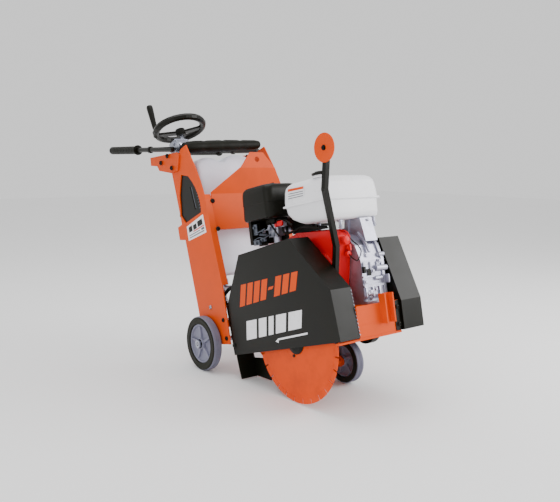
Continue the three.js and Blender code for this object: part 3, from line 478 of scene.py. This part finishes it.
def handwheel_parts():
    """Hub nut and washer on the wheel, and the turned crank knob on its rim seat."""
    centre = SCREW_TOP
    shape = Shape()
    shape.nut(centre + SCREW_AXIS * 25.5, SCREW_AXIS, 7, 4)
    make("handwheel_nut", "depth_handwheel", shape, [DARK], bevel=0.3)
    turn = Vector((0, 0, 1)).rotation_difference(SCREW_AXIS)
    out = Vector((math.cos(KNOB_ANGLE), math.sin(KNOB_ANGLE), 0))
    seat = centre + turn @ (out * HANDWHEEL_R)
    knob = Shape()
    knob.turn(seat, SCREW_AXIS, [(6, 48.6), (9, 49), (9, 54), (7.4, 56), (7.4, 59), (9.4, 61), (10, 75),
                                 (11, 100),
                                 (12.6, 140), (13, 156), (11.4, 163), (6.6, 166), (0.5, 166)], 36)
    make("crank_knob_detail", "knob", knob, [PLASTIC], replaces=("crank_knob",), sharp=50)
    thread = Shape()
    length = (SCREW_TOP - SCREW_FOOT).length
    profile = [(5.5, 0), (6.4, 0.8)]
    turns = int((length - 30) / 5)
    for k in range(turns):
        base = 4 + k * 5
        profile += [(6.5, base), (7.9, base + 1.6), (7.9, base + 2.6), (6.5, base + 4.2)]
    profile += [(7.9, length - 24), (7.9, length - 2), (6, length - 1)]
    thread.turn(SCREW_FOOT, SCREW_AXIS, profile, 14)
    make("depth_screw_thread", "depth_handwheel", thread, [STEEL], replaces=("depth_screw",), sharp=25)


def screw_block_parts():
    """Clamp bolts and a grease nipple on the bearing block."""
    shape = Shape()
    at = SCREW_FOOT + (SCREW_TOP - SCREW_FOOT) * 0.945 + Vector((-9, -15, -4))
    for dx, dz in ((14, 12), (-14, -12)):
        shape.bolt(at + Vector((dx, -31.6, dz)), -Y, 6, 4.5)
    shape.bolt(at + Vector((26, -12, 6)), X, 5.5, 4.5)
    shape.bolt(at + Vector((27, 14, 4)), X, 5.5, 4.5)
    shape.tube([at + Vector((20, -27, 26)), at + Vector((30, -27, 14)), at + Vector((32, -27, -4)),
                at + Vector((26, -27, -20))], 2.6)
    shape.turn(at + Vector((-26, 8, 10)), -X, [(4, 0), (4, 3), (2.2, 4), (2.2, 7), (3, 8), (2, 10)], 16)
    make("screw_block_bolts", "chassis", shape, [STEEL], bevel=0.3)


grips()
cross_bar()
handwheel_parts()
screw_block_parts()


# ---------------------------------------------------------------- tower
def tower_bolts():
    shape = Shape()
    for side in (-1, 1):
        face = side * 199.3
        for x, z in ((-651, 734), (-708, 717), (-626, 681)):
            shape.dome((x, face, z), Y * side, 9.5, 5)
        for x, z in ((-384, 77), (-375, 10)):
            shape.dome((x - 8, side * 188.2, z), Y * side, 8.5, 4.5)
        shape.bolt((-651, side * 188.2, 734), -Y * side, 7, 5)
        for x, z in ((-420.6, 519), (-405, 413)):
            shape.dome((x + 0.5, side * 158, z), X, 9, 5)
    shape.paint = 1
    for side in (-1, 1):
        shape.dome((-469, side * 188.2, 126), Y * side, 8, 5)
    make("tower_bolts", "chassis", shape, [DARK, STEEL])


def quad(shape, corners, y, u0, u1, v0, v1, lean=0.0):
    """A thin printed block on a side face, between shares of a four-cornered area."""
    low_left, low_right, high_right, high_left = [Vector((x, z)) for x, z in corners]

    def spot(u, v):
        bottom = low_left.lerp(low_right, u)
        top = high_left.lerp(high_right, u)
        return bottom.lerp(top, v)
    outline = [spot(u0, v0), spot(u1, v0), spot(u1 + lean, v1), spot(u0 + lean, v1)]
    shape.plate([tuple(p) for p in outline], y, y - 0.35)


def guard_print():
    """Plain bars on the guard: an orange row above, a white row and a thin arrow below."""
    shape = Shape()
    upper = ((-288, 121), (38, 167), (52, 226), (-272, 198))
    widths = (0.1, 0.1, 0.1, 0.1, 0.08, 0.1, 0.1, 0.1)
    at = 0.0
    for k, width in enumerate(widths):
        low, high = (0.42, 0.56) if k == 4 else (0.0, 1.0)
        quad(shape, upper, GUARD_FACE, at, at + width, low, high, lean=0.02)
        at += width + 0.031
    shape.paint = 1
    lower = ((-268, 4), (74, 52), (82, 108), (-262, 70))
    at = 0.0
    for width in (0.18, 0.13, 0.08, 0.16, 0.2):
        quad(shape, lower, GUARD_FACE, at, at + width, 0.0, 1.0, lean=0.015)
        at += width + 0.04
    line = ((-120, 2), (70, 28), (71, 34), (-119, 8))
    quad(shape, line, GUARD_FACE, 0.2, 1.0, 0.0, 1.0)
    shape.plate([(-100, 3), (-82, 14), (-84, -2)], GUARD_FACE, GUARD_FACE - 0.35)
    make("guard_print", "chassis", shape, [DISC, WHITE])


def tower_label():
    """White plate sticker with a dark bar, a red rule and grey rules, none of it writing."""
    shape = Shape()
    area = ((-575, 386), (-440, 405), (-451, 474), (-579, 442))
    quad(shape, area, TOWER_FACE, 0, 1, 0, 1)
    face = TOWER_FACE - 0.3
    shape.paint = 1
    quad(shape, area, face, 0.1, 0.3, 0.5, 0.86)
    quad(shape, area, face, 0.36, 0.56, 0.5, 0.8)
    quad(shape, area, face, 0.62, 0.9, 0.52, 0.84)
    shape.paint = 2
    quad(shape, area, face, 0.34, 0.95, 0.4, 0.46)
    shape.paint = 3
    quad(shape, area, face, 0.08, 0.7, 0.27, 0.32)
    quad(shape, area, face, 0.08, 0.92, 0.12, 0.18)
    quad(shape, area, face, 0.78, 0.94, 0.24, 0.36)
    make("tower_label", "chassis", shape, [WHITE, BLACK, RED, GREY])


def quadrant_marks():
    """Pale slot and depth marks on the black quadrant behind the window."""
    shape = Shape()
    face = -183.7
    shape.plate([(-519, 588), (-516, 588), (-498, 503), (-501, 503)], face, face - 0.5)
    for k in range(9):
        z = 500 + k * 11
        x = -478 - 0.16 * (z - 500)
        shape.plate([(x, z), (x + 11, z + 2), (x + 11, z + 4), (x, z + 2)], face, face - 0.5)
    make("quadrant_marks", "chassis", shape, [GREY])


def weld_line(shape, a, b, count, r=2.2):
    """Short overlapping weld beads between two points."""
    a, b = Vector(a), Vector(b)
    along = (b - a).normalized()
    step = (b - a).length / count
    for k in range(count):
        at = a + along * step * (k + 0.2)
        shape.turn(at, along, [(r * 0.3, 0), (r * 0.85, step * 0.15), (r, step * 0.4),
                               (r * 0.8, step * 0.68),
                               (r * 0.3, step * 0.8)], 10)


def welds():
    """Seams on the frame: panel folds, bracket and deck joints, painted over."""
    shape = Shape()
    weld_line(shape, (209, -182, 3), (209, -104, 3), 12)
    weld_line(shape, (214.5, 4, 36), (214.5, 4, 128), 16, 1.8)
    weld_line(shape, (214.5, 44, 36), (214.5, 44, 128), 16, 1.8)
    for side in (-1, 1):
        weld_line(shape, (-454, side * 184, 76), (-486, side * 184, 76), 6)
        weld_line(shape, (-425, side * 160, 418), (-425, side * 160, 540), 18, 1.8)
        weld_line(shape, (-640, side * 194, 668), (-600, side * 194, 665), 6, 1.8)
    make("frame_welds", "chassis", shape, [ORANGE])


tower_bolts()
guard_print()
tower_label()
quadrant_marks()
welds()


# ---------------------------------------------------------------- guards and front
def guard_parts():
    """Bolts and flange of the two guards, and the row of bright tack welds on the blade guard."""
    shape = Shape()
    shape.dome((-350, GUARD_FACE, -16), -Y, 8.2, 4.5)
    for x, z in ((-60, 250), (120, 250), (190, 40), (-180, 40)):
        shape.dome((x, 188.2, z), Y, 8.5, 4.5)
    shape.plate_x([(64, 4), (89, 4), (89, 100), (64, 98)], 214.2, 217)
    shape.dome((217, 77, 78), X, 8, 5)
    shape.dome((217, 78, 23), X, 8, 5)
    make("guard_bolts", "chassis", shape, [BLACK], bevel=0.3)
    tacks = Shape()
    count = 13
    for k in range(count):
        share = (k + 0.5) / count
        x = 200.6 + 18 * share
        z = 156 - 145 * share
        tacks.rod((x, -99, z + 2.4), (x + 0.3, -96.6, z - 2.4), 1.5, n=8)
    make("guard_tacks", "chassis", tacks, [STEEL])


def front_panel_parts():
    shape = Shape()
    shape.bolt((216, 50, 107), X, 7, 6)
    shape.paint = 1
    shape.plate_x([(-86, 42), (4, 43), (4, 44.4), (-86, 43.4)], 213.9, 214.6)
    shape.plate_x([(46, 60), (62, 60), (62, 61.5), (46, 61.5)], 213.9, 214.6)
    make("front_panel_parts", "chassis", shape, [STEEL, ORANGE], bevel=0.2)


def blade_parts():
    """Pressed ring round the blade's core and the segments' brazed line."""
    shape = Shape()
    for y, sign in ((-162.6, -1), (-159.4, 1)):
        shape.turn((ARBOR[0], y, ARBOR[1]), Y * sign,
                   [(182.2, -0.2), (182.2, 0.25), (183, 0.25), (183, -0.2),
                                                       (182.2, -0.2)], 96)
        shape.turn((ARBOR[0], y, ARBOR[1]), Y * sign,
                   [(60, -0.2), (60, 0.2), (61, 0.2), (61, -0.2), (60, -0.2)], 64)
    make("blade_rings", "arbor", shape, [BLADE])
    nut = Shape()
    nut.turn((ARBOR[0], -173.6, ARBOR[1]), -Y, [(7, -0.5), (7, 0.8), (6, 1.2)], 20)
    make("arbor_end", "arbor", nut, [DARK])


guard_parts()
front_panel_parts()
blade_parts()


# ---------------------------------------------------------------- water
def water_tank():
    """Moulded tank with soft edges and two humps, leaning with the tower."""
    lean = math.tan(math.radians(12))
    outline = [(-124, 0), (160, 0), (160, 440)]
    for start, end, rise in ((160, -4, 50), (-4, -124, 37)):
        for i in range(1, 20):
            share = i / 20
            hump = math.sqrt(1 - (2 * share - 1) ** 2)
            floor = 462 if (end == -4 and share > 0.9) or (start == -4 and share < 0.1) else 440
            outline.append((start + (end - start) * share, max(floor, 440 + rise * hump)))
        if end == -4:
            outline.append((-4, 462))
    outline.append((-124, 440))
    shape = Shape()
    rings = []
    for x, inset in ((-70, 12), (-66, 5), (-58, 0), (48, 0), (56, 5), (60, 12)):
        ring = []
        for y, z in outline:
            sy = y + inset * (1 if y < 18 else -1) * min(1.0, abs(y - 18) / 142)
            sz = z + inset if z < 1 else z - inset
            ring.append((x - 520 - lean * sz, sy, sz + 236))
        rings.append(ring)
    shape.rings(rings)
    neck = Vector((-690, 60, 620))
    shape.turn(neck + X * 32, -X, [(26, 0), (26, 8), (24, 10), (24, 31.6)], 32)
    make("water_tank_detail", "chassis", shape, [MILKY], replaces=("water_tank",), bevel=5, sharp=60)
    cap = Shape()
    cap.turn(neck, -X, [(28, 0.4), (30, 1.4), (30, 14), (28, 16), (22.5, 16.4), (22, 21), (20.5, 22),
                        (0.5, 22)], 40)
    for k in range(20):
        angle = 2 * math.pi * k / 20
        spot = neck + Vector((0, math.cos(angle), math.sin(angle))) * 29.4
        cap.rod(spot - X * 2, spot - X * 15, 1.3, n=8)
    make("water_cap_detail", "water_filler_cap", cap, [PLASTIC], replaces=("water_cap",))


def hose_parts():
    """Smooth hose from the valve to the guard with a crimped clamp at each end."""
    route = [(-438.5, -108, 189.6), (-430, -108, 189.6), (-414, -122, 189), (-394, -150, 184),
             (-404, -158, 172),
             (-434, -159, 158), (-424, -158, 140), (-398, -154, 130), (-374, -152, 126)]
    shape = Shape()
    shape.tube(route, 7, n=16, steps=8)
    make("water_hose_detail", "chassis", shape, [RUBBER], replaces=("water_hose",), sharp=60)
    clamps = Shape()
    clamps.turn((-433, -109, 189.6), X, [(7.2, -4), (8.4, -4), (8.4, 4), (7.2, 4), (7.2, -4)], 24)
    clamps.turn((-384, -153, 128), (10, 1, -4), [(7.2, -4), (8.4, -4), (8.4, 4), (7.2, 4), (7.2, -4)],
                24)
    clamps.turn((-374, -152, 126), X, [(7.2, -1), (12, -1), (12, 2), (7.2, 2), (7.2, -1)], 6)
    make("hose_clamps", "chassis", clamps, [STEEL])


water_tank()
hose_parts()


# ---------------------------------------------------------------- engine
def fuel_tank():
    """Pressed steel tank: soft upper and lower shells, a thin seam flange, filler neck and feet."""
    x0, x1, y0, y1, seam = -67, 155, -118, 134, 439
    shape = Shape()
    upper = []
    for z, inset, corner in ((0, 4.2, 22), (20, 4.6, 23), (48, 6.5, 25), (60, 9, 26), (69, 15, 27),
                             (75, 24, 28),
                             (78, 38, 26)):
        upper.append((seam + z, x0 + inset, x1 - inset, y0 + inset, y1 - inset, corner))
    shape.loft(upper, 10)
    lower = []
    for z, inset, rear, corner in ((66, 26, 92, 18), (64, 16, 82, 22), (58, 9, 66, 24),
                                   (44, 6.5, 34, 24),
                                   (24, 6, 12, 24), (0, 6, 6, 22)):
        lower.append((seam - z, x0 + rear, x1 - inset, y0 + inset, y1 - inset, corner))
    shape.loft(lower, 10)
    flange = [(seam - 3, x0 + 1, x1 - 1, y0 + 1, y1 - 1, 17), (seam - 2, x0, x1, y0, y1, 18),
              (seam + 2, x0, x1, y0, y1, 18), (seam + 3, x0 + 1, x1 - 1, y0 + 1, y1 - 1, 17)]
    shape.loft(flange, 10)
    shape.turn((110, -85, seam + 72), Z, [(26, 0), (25, 5), (23, 8), (20, 8)], 32)
    shape.paint = 1
    for x, y in ((-30, 8), (-30, 70)):
        shape.rod((x, y, 337.2), (x, y, seam - 24), 7)
    for x, y in ((128, -40), (142, 96)):
        shape.rod((x, y, 347), (x, y, seam - 64), 5.5)
        shape.bolt((x, y, 349), -Z, 6, 5)
    make("fuel_tank_detail", "chassis", shape, [WHITE, CAST], replaces=("fuel_tank",), sharp=55)
    cap = Shape()
    cap.turn((110, -85, seam + 80.4), Z, [(25, 0), (27, 1), (27, 6.5), (25, 8), (17.4, 8.3),
                                          (16.6, 11.5), (14, 12),
                                          (0.5, 12)], 36)
    for k in range(18):
        angle = 2 * math.pi * k / 18
        cap.rod((110 + 26.2 * math.cos(angle), -85 + 26.2 * math.sin(angle), seam + 81.5),
                (110 + 26.2 * math.cos(angle), -85 + 26.2 * math.sin(angle), seam + 87.5), 1.4, n=8)
    make("fuel_cap_detail", "fuel_filler_cap", cap, [PLASTIC], replaces=("fuel_cap",))
    sticker = Shape()
    area = ((-34, 459), (54, 459), (58, 494), (-26, 497))
    face = -113.7
    quad(sticker, area, face, 0, 1, 0, 1)
    sticker.paint = 1
    quad(sticker, area, face - 0.3, 0.02, 0.98, 0.76, 0.98)
    sticker.paint = 2
    for row in range(3):
        quad(sticker, area, face - 0.3, 0.06, 0.94, 0.12 + row * 0.2, 0.19 + row * 0.2)
    make("tank_sticker", "chassis", sticker, [WHITE, DISC, GREY])


def air_cleaner():
    """Moulded box with a lift-off cover, a wing nut, its bracket and shield; the black plate below is
    partly painted shade.
    """
    shape = Shape()
    x0, x1, y0, y1 = -262, -96, -148, 4
    base = [(414, 8, 18), (417, 3, 22), (424, 0.6, 24), (508, 3.4, 25)]
    shape.loft([(z, x0 + i, x1 - i, y0 + i, y1 - i, c) for z, i, c in base], 10)
    cover = [(468, 2.6, 24), (470, 1, 25), (506, 1.8, 26), (520, 4, 27), (528, 9, 28), (531.5, 16, 28),
             (532, 26, 24)]
    shape.loft([(z, x0 + i, x1 - i, y0 + i, y1 - i, c) for z, i, c in cover], 10)
    shape.rod((-170, -66, 530), (-170, -66, 536), 8)
    shape.loft([(534, -184, -156, -69, -63, 2), (542, -182, -158, -68, -64, 1.5)])
    shape.block(-200, -150, -88, -64, 396, 416)
    shape.block(-257, -241, -124, -57, 333, 418)
    # The black plate framed round the intake (y -60 to -56) is drawn as the engine's control base, and it
    # also stands in for the engine's shade in the gap under the air cleaner: partly a real plate, partly
    # painted shade.
    shape.plate([(-257, 333), (-188, 333), (-188, 416), (-257, 416)], -60, -56)
    shape.plate([(-128, 333), (-117, 333), (-117, 416), (-128, 416)], -60, -56)
    shape.plate([(-188, 388), (-128, 388), (-128, 416), (-188, 416)], -60, -56)
    shape.plate([(-188, 333), (-128, 333), (-128, 356), (-188, 356)], -60, -56)
    make("air_cleaner_detail", "chassis", shape, [PLASTIC], replaces=("air_cleaner",), bevel=0.8,
         sharp=45)


def carburettor_parts():
    """Linkage rods, springs, fuel hose, bracket plates and screws round the carburettor."""
    shape = Shape()
    shape.block(-246, -218, -117, -113, 366, 404)
    shape.block(-240, -206, -122, -112, 330, 348)
    shape.block(-214, -186, -112, -104, 340, 352)
    shape.bolt((-232, -117, 392), -Y, 5, 4)
    shape.bolt((-222, -122, 339), -Y, 5, 4)
    shape.bolt((-198, -112, 346), -Y, 4, 4)
    shape.tube([(-232, -119, 372), (-205, -116, 376), (-180, -111, 384)], 1.8)
    shape.tube([(-236, -120, 350), (-214, -114, 356), (-190, -112, 352), (-160, -110, 358)], 1.8)
    shape.coil((-208, -113, 366), (-172, -111, 360), 4.2, 1.1, 9)
    shape.dome((-158, -92.2, 388), -Y, 5, 3)
    shape.dome((-176, -92.2, 360), -Y, 5, 3)
    shape.turn((-158, -76, 318), -Z, [(6, -1), (6, 4), (4, 6)], 6)
    shape.plate([(-150, 352), (-140, 352), (-122, 376), (-128, 382)], -106, -103)
    shape.paint = 1
    shape.tube([(-112, -86, 381), (-108, -84, 362), (-90, -80, 356), (-60, -76, 360), (-30, -72, 368),
                (10, -74, 366),
                (60, -74, 358)], 4.2)
    shape.tube([(-168, -96, 400), (-150, -104, 392), (-128, -108, 372), (-118, -100, 350)], 3)
    shape.tube([(-140, -90, 396), (-120, -92, 408), (-84, -90, 398), (-60, -84, 380)], 3)
    shape.block(-244, -219, -104, -96, 372, 408)
    shape.plate([(-112, 352), (-104, 396), (-76, 408), (-60, 392), (0, 370), (62, 362), (72, 352)], -44,
                -40)
    shape.plate([(-240, 348), (-190, 348), (-190, 326), (-240, 326)], -100, -96)
    make("carburettor_parts", "chassis", shape, [ZINC, PLASTIC], bevel=0.2)
    tab = Shape()
    tab.loft([(384, -116, -92, -104.6, -98, 2), (388, -118, -90, -105, -97, 3),
              (398, -118, -90, -105, -97, 3),
              (401, -115, -93, -104, -98, 2)])
    make("fuel_lever_tab", "fuel_valve", tab, [RED], bevel=0.4)


def shroud_parts():
    """Rolled lip round the fan shroud, its screws, ribs, and the starter cover's vent openings drawn as
    flat dark plates: painted shade.
    """
    shape = Shape()
    edge = [(-70, 240), (-50, 158), (0, 112), (78, 112), (114, 166), (140, 290), (143, 322), (104, 342),
            (-57, 352),
            (-106, 340), (-112, 268)]
    path = [(x, -24, z) for x, z in edge] + [(edge[0][0], -24, edge[0][1])]
    shape.tube(path, 2.4, n=8, steps=3)
    for x, z in ((122, 306), (-84, 322), (100, 180), (-40, 200)):
        shape.dome((x, -70, z), -Y, 5.5, 3)
    for k in range(5):
        z = 236 + k * 13
        shape.plate([(112 + k * 2.2, z), (134 + k * 1.6, z), (134 + k * 1.6, z + 4),
                     (112 + k * 2.2, z + 4)], -72, -69)
    shape.turn((146, -39, 262), X, [(9, -6), (10, 4), (9, 6), (4, 7)], 20)
    make("shroud_parts", "chassis", shape, [RED], bevel=0.3)
    # The vent openings are thin dark plates on the cover, not holes: painted shade standing in for the dark
    # inside open slots.
    slot_shade = Shape()
    for k in range(16):
        angle = 2 * math.pi * (k + 0.5) / 16
        out = Vector((math.cos(angle), 0, math.sin(angle)))
        across = Vector((-math.sin(angle), 0, math.cos(angle)))
        centre = Vector((60, -90, 218))
        corners = [centre + out * r + across * w for r, w in ((14, -1.6), (33, -3), (33, 3), (14, 1.6))]
        slot_shade.rings([[c - Y * 0.3 for c in corners], [c + Y * 0.6 for c in corners]])
    make("starter_slot_shade", "chassis", slot_shade, [DARK])
    grip = Shape()
    grip.turn((143.5, -50, 305), X, [(5, 0), (5, 5), (9, 6), (13, 9), (14.5, 13), (13, 17), (8, 19.4),
                                     (0.5, 19.6)], 32)
    grip.turn((143.5, -50, 305), X, [(15, 6), (15.8, 8), (15.8, 10), (15, 12), (15, 6)], 32)
    make("starter_handle_detail", "starter_grip", grip, [RED], replaces=("starter_handle",))
    wire = Shape()
    wire.tube([(150, -40, 262), (166, -42, 248), (184, -40, 238), (186, -28, 250), (185, -20, 268),
               (183, -30, 286),
               (170, -36, 300), (152, -30, 312)], 2.0, n=8)
    make("stop_switch_wire", "chassis", wire, [PLASTIC])


def crankcase_parts():
    """Ribs, bosses, cover flange, screws and feet cast on the crankcase."""
    shape = Shape()
    flange = [(-64, 102), (176, 102), (183, 122), (183, 238), (165, 289), (121, 328), (40, 341),
              (-14, 335), (-39, 264),
              (-39, 170)]
    shape.plate(flange, 66, 76)
    for y in (-16, 14, 44):
        shape.plate([(176, 112), (184, 120), (184, 150), (178, 160), (176, 160)], y, y + 5)
        shape.plate([(176, 232), (183, 226), (182, 205), (177, 196)], y, y + 5)
    shape.block(150, 187, -20, 62, 98.6, 106)
    shape.block(150, 183, -20, 66, 150, 158)
    shape.block(150, 182, -20, 30, 180, 186)
    shape.plate([(80, 330), (96, 330), (104, 372), (94, 372)], 18, 26)
    shape.plate([(146, 318), (172, 288), (182, 262), (176, 258), (160, 290), (138, 330)], 18, 26)
    shape.rod((182, 36, 208), (182, 84, 206), 10)
    shape.rod((180, 30, 176), (180, 62, 176), 7)
    shape.turn((184, 6, 132), X, [(9, -6), (9, 2), (7, 3)], 20)
    for y, z in ((-7, 132), (28, 142), (3, 116), (52, 122), (-12, 168), (24, 200), (58, 230),
                 (10, 250)):
        shape.bolt((181 if z < 240 else 173, y, z), X, 5.5, 4.5)
    for x, z in ((176, 250), (150, 306), (100, 336), (30, 343), (-22, 320)):
        shape.turn((x, 60, z), Y, [(8, 0), (8, 24)], 16)
        shape.bolt((x, 60.5, z), -Y, 5, 4)
    for y in (-12, 56):
        shape.bolt((176, y, 106), Z, 6, 5)
    shape.turn((150, 55, 368), -Z, [(9, 0), (9, 6), (5, 8), (5, 30), (4, 31)], 20)
    shape.turn((118, -30, 372), -Z, [(9, 0), (9, 5), (5, 6), (5, 26), (4, 27)], 20)
    shape.paint = 1
    shape.block(176, 186, -18, -8, 196, 216)
    shape.plate([(180.5, 186), (181.5, 186), (181.5, 208), (180.5, 208)], 2, 18)
    make("crankcase_parts", "chassis", shape, [CAST, DARK], bevel=0.6)
    plug = Shape()
    plug.loft([(157, 190, 200, 73.5, 77.5, 1.5), (163, 186, 201, 72.5, 78.5, 2),
               (179, 186, 201, 72.5, 78.5, 2),
               (185, 190, 200, 73.5, 77.5, 1.5)])
    make("oil_plug_wings", "oil_filler_plug", plug, [CAST], bevel=0.5)


def muffler_parts():
    """Slats of the heat shield, and the outlet of the muffler."""
    shape = Shape()
    for row in range(4):
        for k in range(7):
            x = -222 + k * 22
            z = 386 + row * 24
            shape.loft([(z, x, x + 14, 125, 127.5, 1), (z + 8, x, x + 14, 125, 127.5, 1)])
    shape.turn((-262, 70, 440), -X, [(14.5, -20), (15.5, -2), (15.5, 0), (12.5, 0), (12.5, -16),
                                     (14.5, -20)], 28)
    shape.bolt((-158, 69, 480), Z, 6, 5)
    make("muffler_shield", "chassis", shape, [DARK], bevel=0.4)


fuel_tank()
air_cleaner()
carburettor_parts()
shroud_parts()
crankcase_parts()
muffler_parts()


# ---------------------------------------------------------------- pointer
def pointer_parts():
    """Smooth rotating disc with a rolled edge, its nut, and the pivot bolt."""
    at = (231, -162.4, 580)
    shape = Shape()
    shape.turn(at, -Y, [(6, 0), (42, 0), (43.4, 0.8), (44, 2.2), (44, 3.6), (43.2, 5), (41, 5.4),
                        (38, 4.6), (6, 4.6)], 72)
    make("guide_disc_detail", "pointer_disc", shape, [DISC], replaces=("guide_disc",))
    nut = Shape()
    nut.nut((231, -166.8, 580), -Y, 6.5, 4.5)
    make("guide_disc_nut", "pointer_disc", nut, [DARK], bevel=0.2)
    pivot = Shape()
    pivot.bolt((104, -92.6, 120), -Y, 7, 4, washer=False)
    make("pointer_pivot", "pointer", pivot, [STEEL], bevel=0.2)


pointer_parts()


# ---------------------------------------------------------------- stage
def look(eye, yaw, pitch, roll, focal_px):
    forward = Vector((math.cos(yaw) * math.cos(pitch), math.sin(yaw) * math.cos(pitch),
                      math.sin(pitch)))
    right = forward.cross(Vector((0, 0, 1))).normalized()
    up = right.cross(forward)
    right, up = (math.cos(roll) * right + math.sin(roll) * up,
                 -math.sin(roll) * right + math.cos(roll) * up)
    turn = Matrix((right, up, -forward)).transposed().to_4x4()
    data = bpy.data.cameras.new("camera")
    data.sensor_width = 36.0
    data.lens = focal_px * 36.0 / 560.0
    data.clip_end = 50
    camera = bpy.data.objects.new("camera", data)
    camera.matrix_world = Matrix.Translation(eye) @ turn
    bpy.context.scene.collection.objects.link(camera)
    bpy.context.scene.camera = camera


def softbox(name, place, aim, size, power):
    data = bpy.data.lights.new(name, "AREA")
    data.size = size
    data.energy = power
    light = bpy.data.objects.new(name, data)
    light.location = place
    light.rotation_euler = (Vector(aim) - Vector(place)).to_track_quat("-Z", "Y").to_euler()
    bpy.context.scene.collection.objects.link(light)


def stage():
    mesh = bpy.data.meshes.new("floor")
    mesh.from_pydata([(-12, -12, 0), (12, -12, 0), (12, 12, 0), (-12, 12, 0)], [], [(0, 1, 2, 3)])
    floor = bpy.data.objects.new("floor", mesh)
    floor.data.materials.append(finish("floor", (0.95, 0.95, 0.95), 0.8, level=0.1, shade=0.99,
                                       patch=1.0))
    bpy.context.scene.collection.objects.link(floor)
    world = bpy.data.worlds.new("studio")
    world.use_nodes = True
    world.node_tree.nodes["Background"].inputs["Color"].default_value = (1, 1, 1, 1)
    world.node_tree.nodes["Background"].inputs["Strength"].default_value = 1.0
    bpy.context.scene.world = world
    softbox("key", (2.4, 2.2, 1.7), (0.2, 0, 0.4), 2.2, 90)
    softbox("fill", (1.2, -3.2, 1.6), (0, 0, 0.4), 2.2, 18)
    softbox("top", (-0.2, -0.2, 3.2), (0, 0, 0.4), 2.4, 45)


look((2.1285, -1.4866, 0.7789), 2.478, -0.133, 0.005, 667)
stage()
